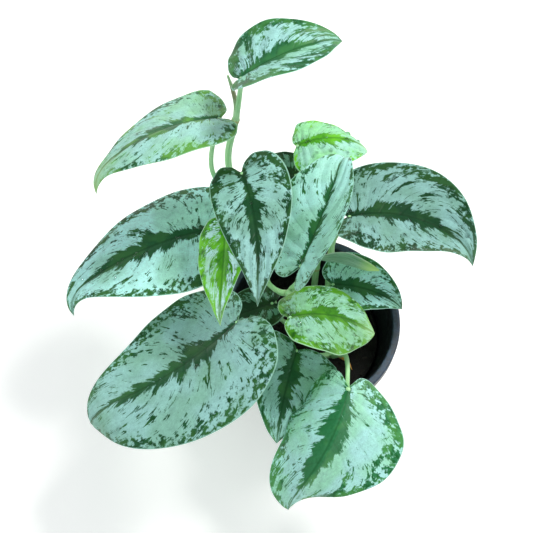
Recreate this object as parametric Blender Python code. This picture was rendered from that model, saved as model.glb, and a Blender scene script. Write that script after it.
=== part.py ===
"""Satin pothos in a round nursery pot, built as separate named pieces.

Metres, +Z up. The origin is the centre of the pot's underside, +X points right and
-Y points to the front. The pot holds potting mix, six cuttings stand in the mix, and
each leaf is a petiole that carries one heart-shaped blade. Nothing here has a joint.

Stems stand on the potting mix. Heights of leaves, and of the points a stem passes, are
measured from the rim, so a taller pot lifts the plant and a deeper headspace only
lengthens the stems.
"""
import math
from dataclasses import dataclass

import bmesh
import bpy
from mathutils import Vector

MM = 0.001
UP = Vector((0.0, 0.0, 1.0))

# Clearance that keeps touching pieces apart.
TOUCH_GAP = 0.0003

# Pot: a thin moulded shell with a hooked rim and a ring of drain holes.
POT_HEIGHT = 0.090
RIM_RADIUS = 0.055
RIM_WIDTH = 0.0045
BORE_RADIUS = RIM_RADIUS - RIM_WIDTH
BASE_RADIUS = 0.038
POT_WALL = 0.0015
POT_FLOOR = 0.002
SKIRT_DEPTH = 0.011
RIM_ROUNDING = 0.0008
DRAIN_HOLE_COUNT = 6
DRAIN_HOLE_RADIUS = 0.004
DRAIN_HOLE_SEGMENTS = 16
DRAIN_RING_RADIUS = 0.026
ROUND_SEGMENTS = 48

# Potting mix: a plug that fills the pot up to a headspace under the rim.
HEADSPACE = 0.028
MIX_CROWN_RADIUS = 0.038
MIX_EDGE_DROP = 0.003
MIX_CLEARANCE = 0.0004
MIX_TOP = POT_HEIGHT - HEADSPACE

# Foliage.
FOLIAGE_SCALE = 1.0
STEM_RADIUS = 0.0022
STEM_COLLAR = 0.003
PETIOLE_RADIUS = 0.0016
PETIOLE_TIP_RADIUS = 0.0012
PETIOLE_STUB = 0.0015
PETIOLE_HANDLE = 0.35  # share of the span over which a petiole keeps its end directions
BLADE_THICKNESS = 0.0008
BLADE_ROWS = 12
BLADE_COLUMNS = 6
TUBE_STEPS = 12

# Half of a heart-shaped blade, from the notch to the tip: along the midrib in units of
# the blade's length, and across it in units of the half width.
HEART = (
    (0.0, 0.0), (-0.05, 0.07), (-0.13, 0.22), (-0.155, 0.46), (-0.09, 0.74), (0.05, 0.95),
    (0.23, 1.0), (0.45, 0.90), (0.66, 0.66), (0.83, 0.36), (0.94, 0.13), (1.0, 0.0),
)
VEIN_LEAN = 0.30       # how far a side vein's middle follows its end towards the tip
VEIN_SPREAD = 0.55     # and towards the margin
VEIN_CROWDING = 1.5    # crowds the veins' starts towards the notch
HOOK_START = 0.72      # share of the midrib after which the tip hooks


@dataclass(frozen=True)
class Leaf:
    """One leaf: where its blade starts, how the blade is posed, and what it grows from.

    Lengths are millimetres and angles are degrees. Pairs give the left and the right
    half of the blade, seen along the midrib from above.
    """
    name: str
    base: tuple            # notch of the blade: x, y, and height over the rim
    heading: float         # compass direction of the midrib at the notch
    length: float
    half_width: tuple
    stem: str
    axil: float            # height of the petiole's foot on its stem
    leave: tuple           # direction in which the petiole leaves the stem
    arrive: tuple          # direction in which it meets the blade
    rise: float = 0.0      # upward pitch at the notch
    droop: float = 0.0     # pitch lost along the blade
    hook: float = 0.0      # extra pitch lost at the tip
    swing: float = 0.0     # turn of the midrib along the blade
    tip_swing: float = 0.0
    roll: float = 0.0
    twist: float = 0.0
    fold: tuple = (8.0, 8.0)
    cup: tuple = (-10.0, -10.0)
    spread: tuple = (0.0, 0.0)   # fold gained from notch to tip
    lobe: float = 1.0      # size of the two lobes behind the notch
    belly: tuple = (0.0, 0.0)    # moves the widest place towards the tip
    full: tuple = (0.0, 0.0)     # widens the half nearest the tip


# Stems as chosen points in millimetres: x and y of the foot on the potting mix, then x,
# y and height over the rim of each point it passes.
STEMS = {
    "tall": ((-22, 18), (-30, 32, 8), (-41, 52, 42), (-49, 70, 74), (-44, 79, 106)),
    "middle": ((-8, 6), (-12, 10, -8), (-14, 13, 12), (-13, 4, 29)),
    "front": ((12, -14), (15, -18, -14), (18, -21, -2)),
    "back": ((4, 33), (4, 35, -4), (5, 41, 8), (5, 60, 18), (4, 84, 20)),
    "right": ((14, 22), (12, 31, -8), (13, 41, 9)),
    "left": ((-24, -16), (-30, -16, -6), (-35, -14, 12)),
}

LEAVES = (
    Leaf("top", base=(-41, 82, 142), heading=26, length=61, half_width=(29, 26),
         stem="tall", axil=106, leave=(0.3, 0, 1), arrive=(0.1, 0.1, 1),
         rise=25, droop=51, hook=8, swing=-2, tip_swing=-13, roll=-41, twist=24,
         fold=(11, 14), cup=(4, -11), spread=(14, -10), lobe=0.45),
    Leaf("upper_left", base=(-52, 78, 110), heading=189, length=86, half_width=(30, 33),
         stem="tall", axil=60, leave=(-0.7, 0.2, 0.7), arrive=(0.2, 0.2, 0.9),
         rise=13, droop=42, hook=16, swing=35, tip_swing=63, roll=37, twist=2,
         fold=(11, 9), cup=(-30, 1), spread=(-22, -24), lobe=0.45,
         belly=(-0.1, -0.1), full=(-0.2, -0.2)),
    Leaf("left", base=(-61, 41, 46), heading=190, length=104, half_width=(37, 37),
         stem="tall", axil=6, leave=(-1, -0.2, 0.2), arrive=(-0.6, 0, 0.8),
         rise=-5, droop=15, hook=23, swing=28, tip_swing=84, roll=6, twist=16,
         fold=(7, 7), cup=(-18, -32), spread=(7, -8), lobe=1.0, full=(-0.3, -0.3)),
    Leaf("centre", base=(-41, 54, 92), heading=288, length=83, half_width=(24, 21),
         stem="tall", axil=38, leave=(0.5, -1, 0.1), arrive=(0, 0.1, 1),
         rise=22, droop=34, hook=17, swing=-24, tip_swing=6, roll=13, twist=7,
         fold=(9, 8), cup=(-12, -7), spread=(4, -3), lobe=0.7,
         belly=(-0.1, -0.1), full=(-0.15, -0.15)),
    Leaf("centre_right", base=(-9, 7, 70), heading=61, length=76, half_width=(33, 22),
         stem="middle", axil=19, leave=(0.6, 1, 0.1), arrive=(-0.1, -0.25, 1),
         rise=30, droop=44, hook=50, swing=17, tip_swing=-28, roll=-50, twist=32,
         fold=(6, 6), cup=(5, 5), spread=(14, 14), lobe=0.95,
         belly=(0.15, 0.15), full=(0.05, 0.05)),
    Leaf("right", base=(20, 44, 56), heading=10, length=85, half_width=(36, 34),
         stem="right", axil=9, leave=(0.3, 0.3, 1), arrive=(0.1, 0.1, 1),
         rise=11, hook=28, swing=-73, tip_swing=-25, roll=-27, twist=38,
         fold=(18, 18), cup=(-18, -18), spread=(8, 0), lobe=0.65,
         belly=(0.05, 0.05), full=(-0.3, -0.3)),
    Leaf("back_young", base=(-9, 98, 42), heading=10, length=54, half_width=(22, 22),
         stem="back", axil=20, leave=(0, 0.5, 1), arrive=(-0.4, 0.1, 0.9),
         rise=37, droop=104, swing=-13, roll=-12, twist=-9,
         fold=(-8, -7), cup=(-6, -17), spread=(-14, -5), lobe=0.45, belly=(0.05, 0.05)),
    Leaf("back_shaded", base=(-8, 90, 18), heading=160, length=30, half_width=(14, 14),
         stem="back", axil=-2, leave=(-1, 0, 0.3), arrive=(-0.3, 0.3, 1), rise=8, droop=20),
    Leaf("rim_right", base=(12, 15, 22), heading=-6, length=46, half_width=(21, 19),
         stem="right", axil=-14, leave=(0.2, -1, 0.2), arrive=(-0.2, -0.1, 1),
         rise=18, droop=36, hook=20, swing=-27, tip_swing=-12, roll=-5, twist=-3,
         fold=(12, 13), cup=(-9, -9), spread=(2, 5), lobe=0.9),
    Leaf("young_left", base=(-50, 32, 73), heading=269, length=61, half_width=(19, 19),
         stem="middle", axil=12, leave=(-1, 0.1, 0.2), arrive=(-0.8, 0.1, 0.5),
         rise=15, droop=29, hook=9, swing=-4, tip_swing=11, roll=33, twist=8,
         fold=(7, 5), cup=(-13, -12), spread=(8, 0), lobe=0.85,
         belly=(-0.05, -0.05), full=(-0.1, -0.1)),
    Leaf("largest", base=(-44, -16, 44), heading=223, length=106, half_width=(52, 50),
         stem="left", axil=12, leave=(-0.2, -0.3, 1), arrive=(-0.1, -0.4, 0.9),
         rise=-10, droop=3, hook=50, swing=-29, tip_swing=37, roll=45, twist=-25,
         fold=(3, 1), cup=(-29, 16), spread=(-12, -7), lobe=0.7,
         belly=(-0.05, -0.05), full=(0.4, 0.4)),
    Leaf("young_front", base=(-15, -18, 57), heading=14, length=59, half_width=(27, 27),
         stem="middle", axil=29, leave=(-0.2, -0.6, 0.8), arrive=(0.1, -0.15, 1),
         rise=2, droop=56, hook=3, swing=-37, tip_swing=25, roll=-42, twist=26,
         fold=(0, 3), cup=(-2, -23), spread=(4, -22), lobe=0.45,
         belly=(0.1, 0.1), full=(0.1, 0.1)),
    Leaf("front_shaded", base=(-9, -22, 10), heading=252, length=58, half_width=(29, 26),
         stem="front", axil=-16, leave=(-1, -0.1, 0.2), arrive=(-0.1, -0.1, 1),
         rise=11, droop=38, hook=10, swing=10, tip_swing=5, roll=-23, twist=-4,
         fold=(10, 12), cup=(-6, -7), spread=(0, 4), lobe=0.45),
    Leaf("front", base=(18, -54, 42), heading=258, length=88, half_width=(52, 44),
         stem="front", axil=-2, leave=(0, -0.3, 1), arrive=(0, -0.4, 0.9),
         rise=12, droop=84, hook=-5, swing=-44, tip_swing=45, roll=-12, twist=-4,
         fold=(-48, -48), cup=(35, -40), spread=(11, 15), lobe=1.1,
         belly=(0.18, 0.9), full=(-0.3, -0.05)),
    Leaf("inner_shaded", base=(-23, 10, 3), heading=200, length=44, half_width=(14, 14),
         stem="middle", axil=-20, leave=(-1, -0.8, 0.2), arrive=(-0.3, 0.2, 1),
         rise=6, droop=12),
)


@dataclass(frozen=True)
class Spike:
    """A slender tapered growth on the side of a stem: chosen points and radii in mm."""
    name: str
    stem: str
    axil: float
    leave: tuple
    points: tuple          # after the foot: x, y, and height over the rim
    radii: tuple           # at the foot and at each point


SPIKES = (
    Spike("rolled_leaf", "middle", 6, (1, 0.6, 0),
          ((1, 26, 30), (10, 26, 37), (20, 24, 40), (31, 19, 41), (38, 17, 40)),
          (1.2, 1.4, 2.6, 3.8, 2.8, 0.7)),
    Spike("new_shoot", "tall", 98, (-0.4, 1, 0.1),
          ((-44, 87, 105), (-45, 87, 122), (-47, 83, 143)),
          (1.2, 1.3, 1.2, 0.6)),
    Spike("middle_sheath", "middle", 14, (1, 1, 0),
          ((-10, 17, 18), (-8, 18, 26)), (1.0, 0.9, 0.3)),
    Spike("front_sheath", "front", -10, (1, -0.4, 0),
          ((22, -26, -2), (24, -32, 2)), (1.0, 0.8, 0.3)),
)

MATERIALS = {
    "pot": ((0.012, 0.014, 0.018), 0.55),
    "mix": ((0.018, 0.012, 0.008), 0.95),
    "stem": ((0.30, 0.52, 0.22), 0.50),
    "blade": ((0.22, 0.48, 0.35), 0.48),
    "young_blade": ((0.22, 0.50, 0.14), 0.45),
    "sheath": ((0.50, 0.24, 0.05), 0.70),
}
YOUNG_LEAVES = ("back_young", "young_left", "young_front")


def clear_scene():
    """Remove every object of the start-up scene."""
    for found in list(bpy.data.objects):
        bpy.data.objects.remove(found, do_unlink=True)


def material(name):
    """Return the named Principled material, made on first use."""
    made = bpy.data.materials.get(name)
    if made is None:
        colour, roughness = MATERIALS[name]
        made = bpy.data.materials.new(name)
        made.use_nodes = True
        shader = made.node_tree.nodes["Principled BSDF"]
        shader.inputs["Base Color"].default_value = (*colour, 1.0)
        shader.inputs["Roughness"].default_value = roughness
        shader.inputs["Metallic"].default_value = 0.0
    return made


def add_object(name, data, finish):
    """Link a new object that shows the given data in one finish."""
    made = bpy.data.objects.new(name, data)
    made.data.materials.append(material(finish))
    bpy.context.scene.collection.objects.link(made)
    return made


def add_mesh(name, bm, finish):
    """Close a bmesh into a smooth-shaded object."""
    bmesh.ops.recalc_face_normals(bm, faces=bm.faces)
    for face in bm.faces:
        face.smooth = True
    mesh = bpy.data.meshes.new(name)
    bm.to_mesh(mesh)
    bm.free()
    return add_object(name, mesh, finish)


def spin_profile(name, profile, finish):
    """Turn a closed outline of (radius, height) points into a round solid."""
    bm = bmesh.new()
    verts = [bm.verts.new((radius, 0.0, height)) for radius, height in profile]
    edges = [bm.edges.new(pair) for pair in zip(verts, verts[1:])]
    if profile[0][0] > 0.0:
        edges.append(bm.edges.new((verts[-1], verts[0])))
    bmesh.ops.spin(bm, geom=verts + edges, cent=(0, 0, 0), axis=UP,
                   angle=2 * math.pi, steps=ROUND_SEGMENTS, use_merge=True)
    bmesh.ops.remove_doubles(bm, verts=bm.verts, dist=1e-6)
    return add_mesh(name, bm, finish)


def bore_radius_at(height):
    """Inner radius of the tapered pot wall at a height."""
    floor_radius = BASE_RADIUS - POT_WALL
    return floor_radius + (BORE_RADIUS - floor_radius) * height / POT_HEIGHT


def build_pot():
    """Spin the shell with its hooked rim and bore the drain holes."""
    wall_top = BORE_RADIUS + POT_WALL
    skirt_inner = RIM_RADIUS - POT_WALL
    top_underside = POT_HEIGHT - POT_WALL
    profile = (
        (0.0, 0.0),
        (BASE_RADIUS, 0.0),
        (wall_top, top_underside),
        (skirt_inner, top_underside),
        (skirt_inner, POT_HEIGHT - SKIRT_DEPTH),
        (RIM_RADIUS, POT_HEIGHT - SKIRT_DEPTH),
        (RIM_RADIUS, POT_HEIGHT - RIM_ROUNDING),
        (RIM_RADIUS - RIM_ROUNDING, POT_HEIGHT),
        (BORE_RADIUS + RIM_ROUNDING, POT_HEIGHT),
        (BORE_RADIUS, POT_HEIGHT - RIM_ROUNDING),
        (bore_radius_at(POT_FLOOR), POT_FLOOR),
        (0.0, POT_FLOOR),
    )
    pot = spin_profile("nursery_pot", profile, "pot")
    bm = bmesh.new()
    for index in range(DRAIN_HOLE_COUNT):
        angle = 2 * math.pi * (index + 0.5) / DRAIN_HOLE_COUNT
        made = bmesh.ops.create_cone(bm, cap_ends=True, segments=DRAIN_HOLE_SEGMENTS,
                                     radius1=DRAIN_HOLE_RADIUS, radius2=DRAIN_HOLE_RADIUS,
                                     depth=4 * POT_FLOOR)
        place = (DRAIN_RING_RADIUS * math.cos(angle), DRAIN_RING_RADIUS * math.sin(angle), 0.0)
        bmesh.ops.translate(bm, verts=made["verts"], vec=place)
    cutter = add_mesh("drain_cutter", bm, "pot")
    cutter.hide_render = True
    cutter.display_type = "WIRE"
    cut = pot.modifiers.new("drain_holes", "BOOLEAN")
    cut.operation = "DIFFERENCE"
    cut.solver = "EXACT"
    cut.object = cutter


def build_mix():
    """Spin the plug of potting mix, a clearance inside the pot."""
    floor = POT_FLOOR + TOUCH_GAP
    edge = MIX_TOP - MIX_EDGE_DROP
    profile = (
        (0.0, floor),
        (bore_radius_at(floor) - MIX_CLEARANCE, floor),
        (bore_radius_at(edge) - MIX_CLEARANCE, edge),
        (MIX_CROWN_RADIUS, MIX_TOP),
        (0.0, MIX_TOP),
    )
    spin_profile("potting_mix", profile, "mix")


def place(point):
    """World position of a foliage point given in millimetres over the pot's rim."""
    return Vector(point) * MM * FOLIAGE_SCALE + UP * POT_HEIGHT


def spline_point(points, share):
    """Value of a Catmull-Rom spline through all points, for a share from 0 to 1."""
    count = len(points) - 1
    place_on = min(max(share, 0.0), 1.0) * count
    index = min(int(place_on), count - 1)
    u = place_on - index
    b, c = points[index], points[index + 1]
    a = points[index - 1] if index > 0 else 2 * b - c
    d = points[index + 2] if index + 2 <= count else 2 * c - b
    return 0.5 * (2 * b + (c - a) * u + (2 * a - 5 * b + 4 * c - d) * u ** 2
                  + (3 * b - a - 3 * c + d) * u ** 3)


def stem_path(name):
    """Centre line of a stem: a short upright collar, then a smooth curve."""
    ground, *passed = STEMS[name]
    foot = Vector((*ground, 0.0)) * MM * FOLIAGE_SCALE + UP * (MIX_TOP + TOUCH_GAP)
    points = [foot + UP * STEM_COLLAR] + [place(point) for point in passed]
    curve = [spline_point(points, step / TUBE_STEPS) for step in range(TUBE_STEPS + 1)]
    return [foot] + curve


def axil_on(stem, height):
    """Return a stem's path point nearest a height, its direction, and if it is the end."""
    path = stem_path(stem)
    level = place((0, 0, height)).z
    index = min(range(1, len(path)), key=lambda i: abs(path[i].z - level))
    if index == len(path) - 1:
        return path[-1], (path[-1] - path[-2]).normalized(), True
    return path[index], (path[index + 1] - path[index - 1]).normalized(), False


def side_foot(stem, height, leave):
    """Foot of a growth on a stem: its start and the square way out."""
    centre, along, is_end = axil_on(stem, height)
    if is_end:
        return centre + along * TOUCH_GAP, along
    way = Vector(leave)
    out = (way - along * way.dot(along)).normalized()
    return centre + out * (STEM_RADIUS + TOUCH_GAP), out


def add_tube(name, path, radii, finish):
    """Sweep a round tube with closed ends along a path of points."""
    curve = bpy.data.curves.new(name, "CURVE")
    curve.dimensions = "3D"
    curve.bevel_depth = 1.0
    curve.bevel_resolution = 1
    curve.use_fill_caps = True
    curve.render_resolution_u = 0
    spline = curve.splines.new("POLY")
    spline.points.add(len(path) - 1)
    for point, centre, radius in zip(spline.points, path, radii):
        point.co = (*centre, 1.0)
        point.radius = radius
    spline.use_smooth = True
    return add_object(name, curve, finish)


class BladeSurface:
    """Curved surface of one blade, as a function of a row and a side position."""

    STATIONS = 48

    def __init__(self, leaf):
        self.leaf = leaf
        self.scale = MM * FOLIAGE_SCALE
        self.points = [place(leaf.base)]
        self.frames = [self.frame(0.0)]
        step = leaf.length * self.scale / self.STATIONS
        for station in range(1, self.STATIONS + 1):
            self.frames.append(self.frame(station / self.STATIONS))
            middle = (self.frames[-2][0] + self.frames[-1][0]) / 2
            self.points.append(self.points[-1] + middle * step)

    def frame(self, share):
        """Forward, left and up directions of the midrib at a share of its length."""
        leaf = self.leaf
        hooked = max(0.0, (share - HOOK_START) / (1.0 - HOOK_START)) ** 2
        pitch = math.radians(leaf.rise - leaf.droop * share - leaf.hook * hooked)
        turn = math.radians(leaf.heading + leaf.swing * share + leaf.tip_swing * hooked)
        lean = math.radians(leaf.roll + leaf.twist * share)
        forward = Vector((math.cos(pitch) * math.cos(turn), math.cos(pitch) * math.sin(turn),
                          math.sin(pitch)))
        level = Vector((-math.sin(turn), math.cos(turn), 0.0))
        raised = forward.cross(level)
        left = level * math.cos(lean) + raised * math.sin(lean)
        return forward, left, forward.cross(left)

    def midrib(self, share):
        """Point and frame on the midrib, between its stations."""
        place_on = min(max(share, 0.0), 1.0) * self.STATIONS
        index = min(int(place_on), self.STATIONS - 1)
        point = self.points[index].lerp(self.points[index + 1], place_on - index)
        return point, self.frame(min(max(share, 0.0), 1.0))

    def flat(self, row, side):
        """Position on the flattened blade, as shares of length and half width."""
        leaf = self.leaf
        half = 0 if side > 0 else 1
        heart = [Vector((x, y, 0.0)) for x, y in HEART]
        edge = spline_point(heart, row)
        shifted = edge.x + leaf.belly[half] * edge.x * (1 - edge.x)
        x = edge.x * leaf.lobe if edge.x < 0 else shifted
        y = max(edge.y, 0.0) ** (1 - leaf.full[half] * max(x, 0.0))
        start = row ** VEIN_CROWDING
        v = abs(side)
        bend_x = start + VEIN_LEAN * (x - start)
        along = (1 - v) ** 2 * start + 2 * v * (1 - v) * bend_x + v * v * x
        across = 2 * v * (1 - v) * VEIN_SPREAD * y + v * v * y
        return along, across

    def point(self, row, side):
        """World position for a row from 0 to 1 and a side from -1 (right) to 1 (left)."""
        leaf = self.leaf
        half = 0 if side > 0 else 1
        along, across = self.flat(row, side)
        centre, (forward, left, up) = self.midrib(along)
        behind = min(along, 0.0) * leaf.length * self.scale
        angle = leaf.fold[half] + leaf.spread[half] * max(along, 0.0)
        angle = math.radians(angle + leaf.cup[half] * across / 2)
        reach = across * leaf.half_width[half] * self.scale
        outward = left if side > 0 else -left
        return (centre + forward * behind + outward * reach * math.cos(angle)
                + up * reach * math.sin(angle))


def build_blade(leaf):
    """Bend a grid into the blade's surface and give it its thickness."""
    surface = BladeSurface(leaf)
    bm = bmesh.new()
    bmesh.ops.create_grid(bm, x_segments=BLADE_COLUMNS, y_segments=BLADE_ROWS, size=1.0)
    for vert in bm.verts:
        vert.co = surface.point((vert.co.y + 1) / 2, vert.co.x)
    bmesh.ops.remove_doubles(bm, verts=bm.verts, dist=1e-6)
    finish = "young_blade" if leaf.name in YOUNG_LEAVES else "blade"
    blade = add_mesh("blade_" + leaf.name, bm, finish)
    wall = blade.modifiers.new("thickness", "SOLIDIFY")
    wall.thickness = BLADE_THICKNESS
    wall.offset = 0.0


def build_petiole(leaf):
    """Run the leaf stalk from its stem to a seat just under the blade's notch."""
    foot, out = side_foot(leaf.stem, leaf.axil, leaf.leave)
    bend = foot + out * PETIOLE_STUB
    forward, left, up = BladeSurface(leaf).frame(0.0)
    arrive = Vector(leaf.arrive).normalized()
    tilt = math.acos(min(1.0, abs(arrive.dot(up))))
    sag = math.radians(max(0.0, -min(leaf.fold)))
    seat = (BLADE_THICKNESS / 2 / math.cos(sag) + TOUCH_GAP
            + PETIOLE_TIP_RADIUS * (math.sin(tilt) + math.tan(sag)))
    end = place(leaf.base) - up * seat
    along = axil_on(leaf.stem, leaf.axil)[1]
    span = (end - bend).length
    first = bend + (out + along).normalized() * span * PETIOLE_HANDLE
    last = end - arrive * span * PETIOLE_HANDLE
    path = [foot]
    for step in range(TUBE_STEPS - 1):
        u = step / (TUBE_STEPS - 2)
        path.append(bend * (1 - u) ** 3 + first * 3 * u * (1 - u) ** 2
                    + last * 3 * u * u * (1 - u) + end * u ** 3)
    radii = [PETIOLE_RADIUS + (PETIOLE_TIP_RADIUS - PETIOLE_RADIUS) * i / (len(path) - 1)
             for i in range(len(path))]
    add_tube("petiole_" + leaf.name, path, radii, "stem")


def build_stem(name):
    """Sweep one cutting's stem."""
    path = stem_path(name)
    add_tube("stem_" + name, path, [STEM_RADIUS] * len(path), "stem")


def build_spike(spike):
    """Sweep a tapered growth that starts square on its stem."""
    foot, out = side_foot(spike.stem, spike.axil, spike.leave)
    points = [foot + out * PETIOLE_STUB] + [place(point) for point in spike.points]
    radii = [radius * MM for radius in spike.radii]
    shares = [step / TUBE_STEPS for step in range(TUBE_STEPS + 1)]
    path = [foot] + [spline_point(points, share) for share in shares]
    widths = [radii[0]] + [spline_point(radii, share) for share in shares]
    finish = "sheath" if "sheath" in spike.name else "stem"
    add_tube(spike.name, path, widths, finish)


def main():
    """Build every piece of the potted plant."""
    clear_scene()
    build_pot()
    build_mix()
    for name in STEMS:
        build_stem(name)
    for leaf in LEAVES:
        build_petiole(leaf)
        build_blade(leaf)
    for spike in SPIKES:
        build_spike(spike)


main()
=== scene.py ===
"""Looks of a satin pothos in a nursery pot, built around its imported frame.

The frame is metres, +Z up, with its origin under the centre of the pot. The pot, the
mix, the stalks and the leaves stand for nodes of the frame and take their places from
those nodes' boxes. Everything rides on the single body, because nothing moves.
"""

import logging  # noqa: E402
import math  # noqa: E402
from dataclasses import dataclass  # noqa: E402
from enum import Enum  # noqa: E402
from typing import Any, Callable, NamedTuple, Optional  # noqa: E402

import bmesh  # noqa: E402
import bpy  # noqa: E402
import numpy as np  # noqa: E402
from mathutils import Euler, Matrix, Vector, noise  # noqa: E402

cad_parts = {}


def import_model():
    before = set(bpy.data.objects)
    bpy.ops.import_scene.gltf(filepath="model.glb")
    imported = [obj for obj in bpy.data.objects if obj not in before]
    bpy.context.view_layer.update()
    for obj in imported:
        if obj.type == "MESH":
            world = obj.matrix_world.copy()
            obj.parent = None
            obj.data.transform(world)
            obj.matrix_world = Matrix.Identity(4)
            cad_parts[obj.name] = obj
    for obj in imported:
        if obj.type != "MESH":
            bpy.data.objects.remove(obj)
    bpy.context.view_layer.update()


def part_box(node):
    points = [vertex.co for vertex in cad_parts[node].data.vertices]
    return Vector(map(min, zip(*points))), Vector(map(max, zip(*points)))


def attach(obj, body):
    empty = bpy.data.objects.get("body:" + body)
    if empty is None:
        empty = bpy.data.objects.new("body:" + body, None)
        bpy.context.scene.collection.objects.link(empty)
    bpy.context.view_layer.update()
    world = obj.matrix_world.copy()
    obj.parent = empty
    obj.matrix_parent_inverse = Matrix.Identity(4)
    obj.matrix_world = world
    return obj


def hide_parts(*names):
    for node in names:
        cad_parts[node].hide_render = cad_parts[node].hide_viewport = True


LOG = logging.getLogger("potted_pothos")

MM = 0.001
BODY = "root"
MERGE = 1e-6             # metres between vertices that count as one
TURN = 2 * math.pi

Point = tuple[float, float, float]
Pair = tuple[float, float]
Colour = tuple[float, float, float]
Array = np.ndarray
Mesh = bmesh.types.BMesh
Piece = bpy.types.Object
Material = bpy.types.Material
Socket = bpy.types.NodeSocket


def linear(code: str) -> Colour:
    """Turn a display colour into a linear one.

    Args:
        code: red, green and blue as six hexadecimal digits.

    Returns:
        The colour as linear red, green and blue.
    """
    shares = [channel / 255 for channel in bytes.fromhex(code)]
    return tuple(share / 12.92 if share <= 0.04045 else ((share + 0.055) / 1.055) ** 2.4
                 for share in shares)


# --------------------------------------------------------------------------- shapes

# Half of a heart-shaped blade from the notch to the tip: x along the midrib in shares
# of the length, y across it in shares of the half width.
HEART = np.array([
    (0.0, 0.0), (-0.05, 0.07), (-0.13, 0.22), (-0.155, 0.46), (-0.09, 0.74), (0.05, 0.95),
    (0.23, 1.0), (0.45, 0.90), (0.66, 0.66), (0.83, 0.36), (0.94, 0.13), (1.0, 0.0),
])
VEIN_LEAN = 0.30         # how far a row of the surface bends toward the margin's place
VEIN_SPREAD = 0.55       # how far out that bend lies
VEIN_CROWDING = 1.5      # above 1, rows lie closer together at the notch
VEIN_SLANT = 0.50        # how far a side vein slants toward the tip
SIDE_VEINS = 7
HOOK_START = 0.72        # share of the midrib where the tip begins to hook


class Age(Enum):
    """How old a leaf is, which sets its family of colours. SHADED is no age but darker colours,
    painted shade for leaves that sit in shade.
    """

    MATURE = "mature"
    PALE = "pale"
    YOUNG = "young"
    # painted shade: leaves in shade get darker copies of the colours
    SHADED = "shaded"


@dataclass(frozen=True)
class BladeShape:
    """Pose of one blade. Lengths are millimetres, angles are degrees.

    Pairs give the left and the right half, seen along the midrib from above.
    """

    heading: float
    length: float
    half_width: Pair
    rise: float = 0.0
    droop: float = 0.0
    hook: float = 0.0
    swing: float = 0.0
    tip_swing: float = 0.0
    roll: float = 0.0
    twist: float = 0.0
    fold: Pair = (8.0, 8.0)
    cup: Pair = (-10.0, -10.0)
    spread: Pair = (0.0, 0.0)
    lobe: float = 1.0
    belly: Pair = (0.0, 0.0)
    full: Pair = (0.0, 0.0)


@dataclass(frozen=True)
class Stalk:
    """How a petiole leaves its stem and meets its blade."""

    stem: str
    axil: float          # millimetres over the rim
    leave: Point
    arrive: Point


@dataclass(frozen=True)
class LeafPlan:
    """One leaf: its name, its blade, its stalk and its colours."""

    name: str
    shape: BladeShape
    stalk: Stalk
    seed: int
    silver: float        # 0.5 is an even share of silver and green
    band: float
    age: Age = Age.MATURE
    drops: int = 0
    drop_size: float = 1.0
    bright: Pair = (1.0, 1.0)      # the silver's and the green's brightness: partly the leaf's own tone, partly painted light and shade for how brightly it is lit


def spline(points: Array, shares: Array) -> Array:
    """Sample a Catmull-Rom spline through all points.

    Args:
        points: the points, one row each.
        shares: places from 0 to 1, equal steps from point to point.

    Returns:
        One sampled row for each share.
    """
    count = len(points) - 1
    padded = np.vstack([2 * points[0] - points[1], points, 2 * points[-1] - points[-2]])
    place = np.clip(shares, 0, 1) * count
    index = np.minimum(place.astype(int), count - 1)
    u = (place - index)[:, None]
    a, b, c, d = (padded[index + k] for k in range(4))
    return 0.5 * (2 * b + (c - a) * u + (2 * a - 5 * b + 4 * c - d) * u ** 2
                  + (3 * b - a - 3 * c + d) * u ** 3)


def unit(vectors: Array) -> Array:
    """Scale vectors, one a row, to length one."""
    return vectors / np.maximum(np.linalg.norm(vectors, axis=-1, keepdims=True), 1e-12)


def smooth(low: float, high: float, value: Array) -> Array:
    """Rise smoothly from 0 to 1 as value goes from low to high."""
    share = np.clip((value - low) / (high - low), 0, 1)
    return share * share * (3 - 2 * share)


def bell(value: Array, centre: float, width: float) -> Array:
    """Return 1 at the centre, fading to 0 over a few widths on each side."""
    return np.exp(-((value - centre) / width) ** 2)


def distances(path: Array) -> Array:
    """Return each point's distance along a path."""
    return np.concatenate([[0], np.cumsum(np.linalg.norm(np.diff(path, axis=0), axis=1))])


def vein_at(row: Any, side: Any) -> Any:
    """Find the row where the side vein through a place leaves the midrib.

    Args:
        row: from 0 at the notch to 1 at the tip, as an array or a node's value.
        side: from 0 at the midrib to 1 at the margin, likewise.

    Returns:
        The row, of the same kind.
    """
    return row - side * (1 - row * 0.5) * VEIN_SLANT


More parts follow.
